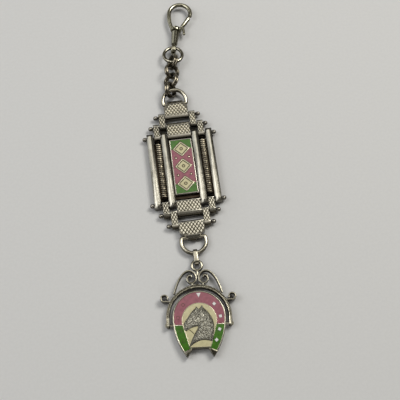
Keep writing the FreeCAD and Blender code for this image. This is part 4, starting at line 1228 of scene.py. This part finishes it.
def outline_distance(grid_x, grid_y, outline):
    """Which grid points are inside the outline, and how far they are from it."""
    inside = np.zeros(grid_x.shape, bool)
    nearest = np.full(grid_x.shape, 1e9)
    count = len(outline)
    for k in range(count):
        a, b = outline[k], outline[(k + 1) % count]
        crosses = (a[1] > grid_y) != (b[1] > grid_y)
        with np.errstate(divide="ignore", invalid="ignore"):
            cut = (b[0] - a[0]) * (grid_y - a[1]) / (b[1] - a[1]) + a[0]
        inside ^= crosses & (grid_x < cut)
        edge = b - a
        along = (grid_x - a[0]) * edge[0] + (grid_y - a[1]) * edge[1]
        share = np.clip(along / max(edge @ edge, 1e-9), 0, 1)
        nearest = np.minimum(nearest, np.hypot(grid_x - a[0] - share * edge[0],
                                               grid_y - a[1] - share * edge[1]))
    return inside, nearest


def bump_at(grid_x, grid_y, x, y, wide, tall, turn):
    """A round bump, wide by tall, turned by some degrees."""
    angle = radians(turn)
    along = (grid_x - x) * cos(angle) + (grid_y - y) * sin(angle)
    across = -(grid_x - x) * sin(angle) + (grid_y - y) * cos(angle)
    return np.exp(-(along / wide) ** 2 - (across / tall) ** 2)


FEATURES = {  # lift, place, width, length and turn in degrees
    "cheek": (0.22, -1.1, -22.6, 1.6, 1.5, 0),
    "brow": (0.12, -1.9, -19.6, 0.7, 0.4, 50),
    "nose": (0.12, -4.2, -22.8, 2.2, 0.6, 55),
    "muzzle": (0.14, -5.3, -24.7, 0.8, 0.9, 0),
    "eye pit": (-0.16, -1.75, -20.35, 0.62, 0.42, 40),
    "eye": (0.14, -1.75, -20.35, 0.24, 0.22, 0),
    "nostril": (-0.2, -5.5, -24.2, 0.24, 0.34, 60),
    "mouth": (-0.12, -4.9, -25.7, 0.9, 0.12, 25),
    "jaw": (-0.16, 0.55, -23.2, 0.22, 2.2, -12),
    "near ear": (0.16, -0.6, -17.6, 0.35, 0.8, 20),
    "far ear": (0.16, 1.2, -17.4, 0.35, 0.9, -10),
}


def horse_height(x, y, distance):
    """Height of the relief: rounded edges, the features, the combed mane and a rough coat."""
    result = 0.42 * (1 - np.exp(-distance / 0.55)) + 0.10 * (1 - np.exp(-distance / 2.0))
    for lift, *place in FEATURES.values():
        result = result + lift * bump_at(x, y, *place)
    mane = 1 / (1 + np.exp(-(x - (1.3 - 0.10 * (y + 22))) * 3.2))
    flow = 5.2 * (x + 0.16 * (y + 24) + 0.30 * np.sin((y + 18) * 0.75)) + 0.5 * np.sin(y * 1.9)
    strands = 0.10 * np.sin(flow) * mane + 0.05 * np.sin(flow * 2.3 + y) * mane
    neck = (1 - mane) * 0.035 * np.sin(7.0 * (x * 0.75 + y * 0.65)) * (y < -25)
    coat = np.zeros_like(x)
    for k in np.ndindex(x.shape):
        coat[k] = noise.noise(Vector((x[k] * 3.4, y[k] * 3.1, 3.0)))
    result = result + 0.8 * strands + neck + 0.30 * coat * np.clip(distance / 0.4, 0, 1)
    return np.maximum(result, 0.03)


STRAPS = (((-4.9, -22.3), (-4.3, -24.0), (-4.2, -25.7)),
          ((-4.3, -24.0), (-2.4, -22.0), (-0.4, -19.6), (0.6, -18.2)),
          ((-2.4, -18.7), (-1.0, -19.2), (0.2, -19.0)))
REIN = ((-4.3, -25.8), (-3.2, -26.7), (-2.1, -27.8))


def bridle(where):
    """The rein that crosses the field, and the straps of the bridle on the head."""
    line = bmesh.new()
    flat_strip(line, [point + UP * (GROUND + 0.05) for point in spline(REIN, 6)], 0.24, 0.12, 0.04, 2)
    finish_mesh("horse_rein", line, where, "horse_head", LINE, crease=50.0)
    bm = bmesh.new()
    for strap in STRAPS:
        flat_strip(bm, [point + UP * (GROUND + 0.60) for point in spline(strap, 8)], 0.2, 0.16, 0.05, 2)
    finish_mesh("horse_bridle", bm, where, "horse_head", crease=50.0, hollow=0.25)


# ---- studio

CAMERA_AT = Vector((-9.85, -126.2, 278.1)) * MM
CAMERA_TARGET = Vector((5.02, -14.64, 0)) * MM
CAMERA_LENS = 64.3
LIGHTS = (  # name, place, size, energy, colour
    ("ceiling_panel", (0.04, 0.32, 0.75), (0.46, 0.46), 0.66, (1.0, 0.985, 0.95)),
    ("left_window", (-0.60, 0.24, 0.20), (0.50, 0.30), 0.55, (0.93, 0.96, 1.0)),
    ("left_skylight", (-0.42, 0.06, 0.62), (0.42, 0.42), 1.35, (0.97, 0.98, 1.0)),
    ("right_lamp", (0.36, 0.18, 0.62), (0.28, 0.28), 2.2, (1.0, 0.98, 0.94)),
    ("front_wall", (0.05, -0.70, 0.30), (0.60, 0.30), 0.45, (1.0, 0.97, 0.95)),
)


def aimed(name, data, location, target):
    """A camera or lamp in the scene that looks at a point."""
    made = bpy.data.objects.new(name, data)
    made.location = location
    made.rotation_euler = (target - Vector(location)).to_track_quat("-Z", "Y").to_euler()
    bpy.context.scene.collection.objects.link(made)
    return made


def studio():
    """Pale card, soft lights, and the camera where the photograph was taken from."""
    bpy.ops.mesh.primitive_plane_add(size=1.6, location=(0, 0, BOX_BEFORE[0][2]))
    card = bpy.context.object
    card.name = "card"
    material, tree, shader = new_material("card_paper")
    grain = noise_node(tree, 900)
    tone = ramp(tree, grain.outputs["Fac"], [(0.35, (0.78, 0.78, 0.765)), (0.65, (0.80, 0.80, 0.785))])
    tree.links.new(tone.outputs["Color"], shader.inputs["Base Color"])
    shader.inputs["Roughness"].default_value = 0.85
    card.data.materials.append(material)

    scene = bpy.context.scene
    camera = bpy.data.cameras.new("camera")
    camera.lens = CAMERA_LENS
    camera.sensor_width = 36.0
    camera.clip_start = 0.01
    scene.camera = aimed("camera", camera, CAMERA_AT, CAMERA_TARGET)
    for name, location, size, energy, colour in LIGHTS:
        data = bpy.data.lights.new(name, "AREA")
        data.shape = "RECTANGLE"
        data.size, data.size_y = size
        data.energy = energy
        data.color = colour
        aimed(name, data, location, Vector((0, 0, 0)))
    world = bpy.data.worlds.new("room")
    world.use_nodes = True
    background = world.node_tree.nodes["Background"]
    background.inputs["Color"].default_value = (1.0, 0.97, 0.88, 1)
    background.inputs["Strength"].default_value = 0.08
    scene.view_settings.view_transform = "Standard"
    scene.world = world


def main():
    back_plate()
    plaque()
    for side, _ in SIDES:
        for kind in ("inner", "outer"):
            rail("%s_%s_rail" % (side, kind))
        coil(side)
    for half in ("upper", "lower"):
        for kind in PLATE_JOINTS:
            hinged_plate("%s_%s" % (half, kind))
        for kind in ("inner", "middle", "outer"):
            hinge_pin("%s_%s_pin" % (half, kind))
        d_ring(half + "_d_ring", half + "_ring_hinge")
    for pair in range(1, 5):
        for letter in "ab":
            round_ring("chain_link_%d%s" % (pair, letter))
    round_ring("jump_ring")
    clip_place = clip_axes()
    clip(clip_place)
    gate(clip_place)
    swivel_look(clip_place)
    connecting_link()
    pendant = pendant_axes()
    pendant_frame(pendant)
    arch(pendant)
    medallion(pendant)
    horse_head(pendant)
    studio()


main()
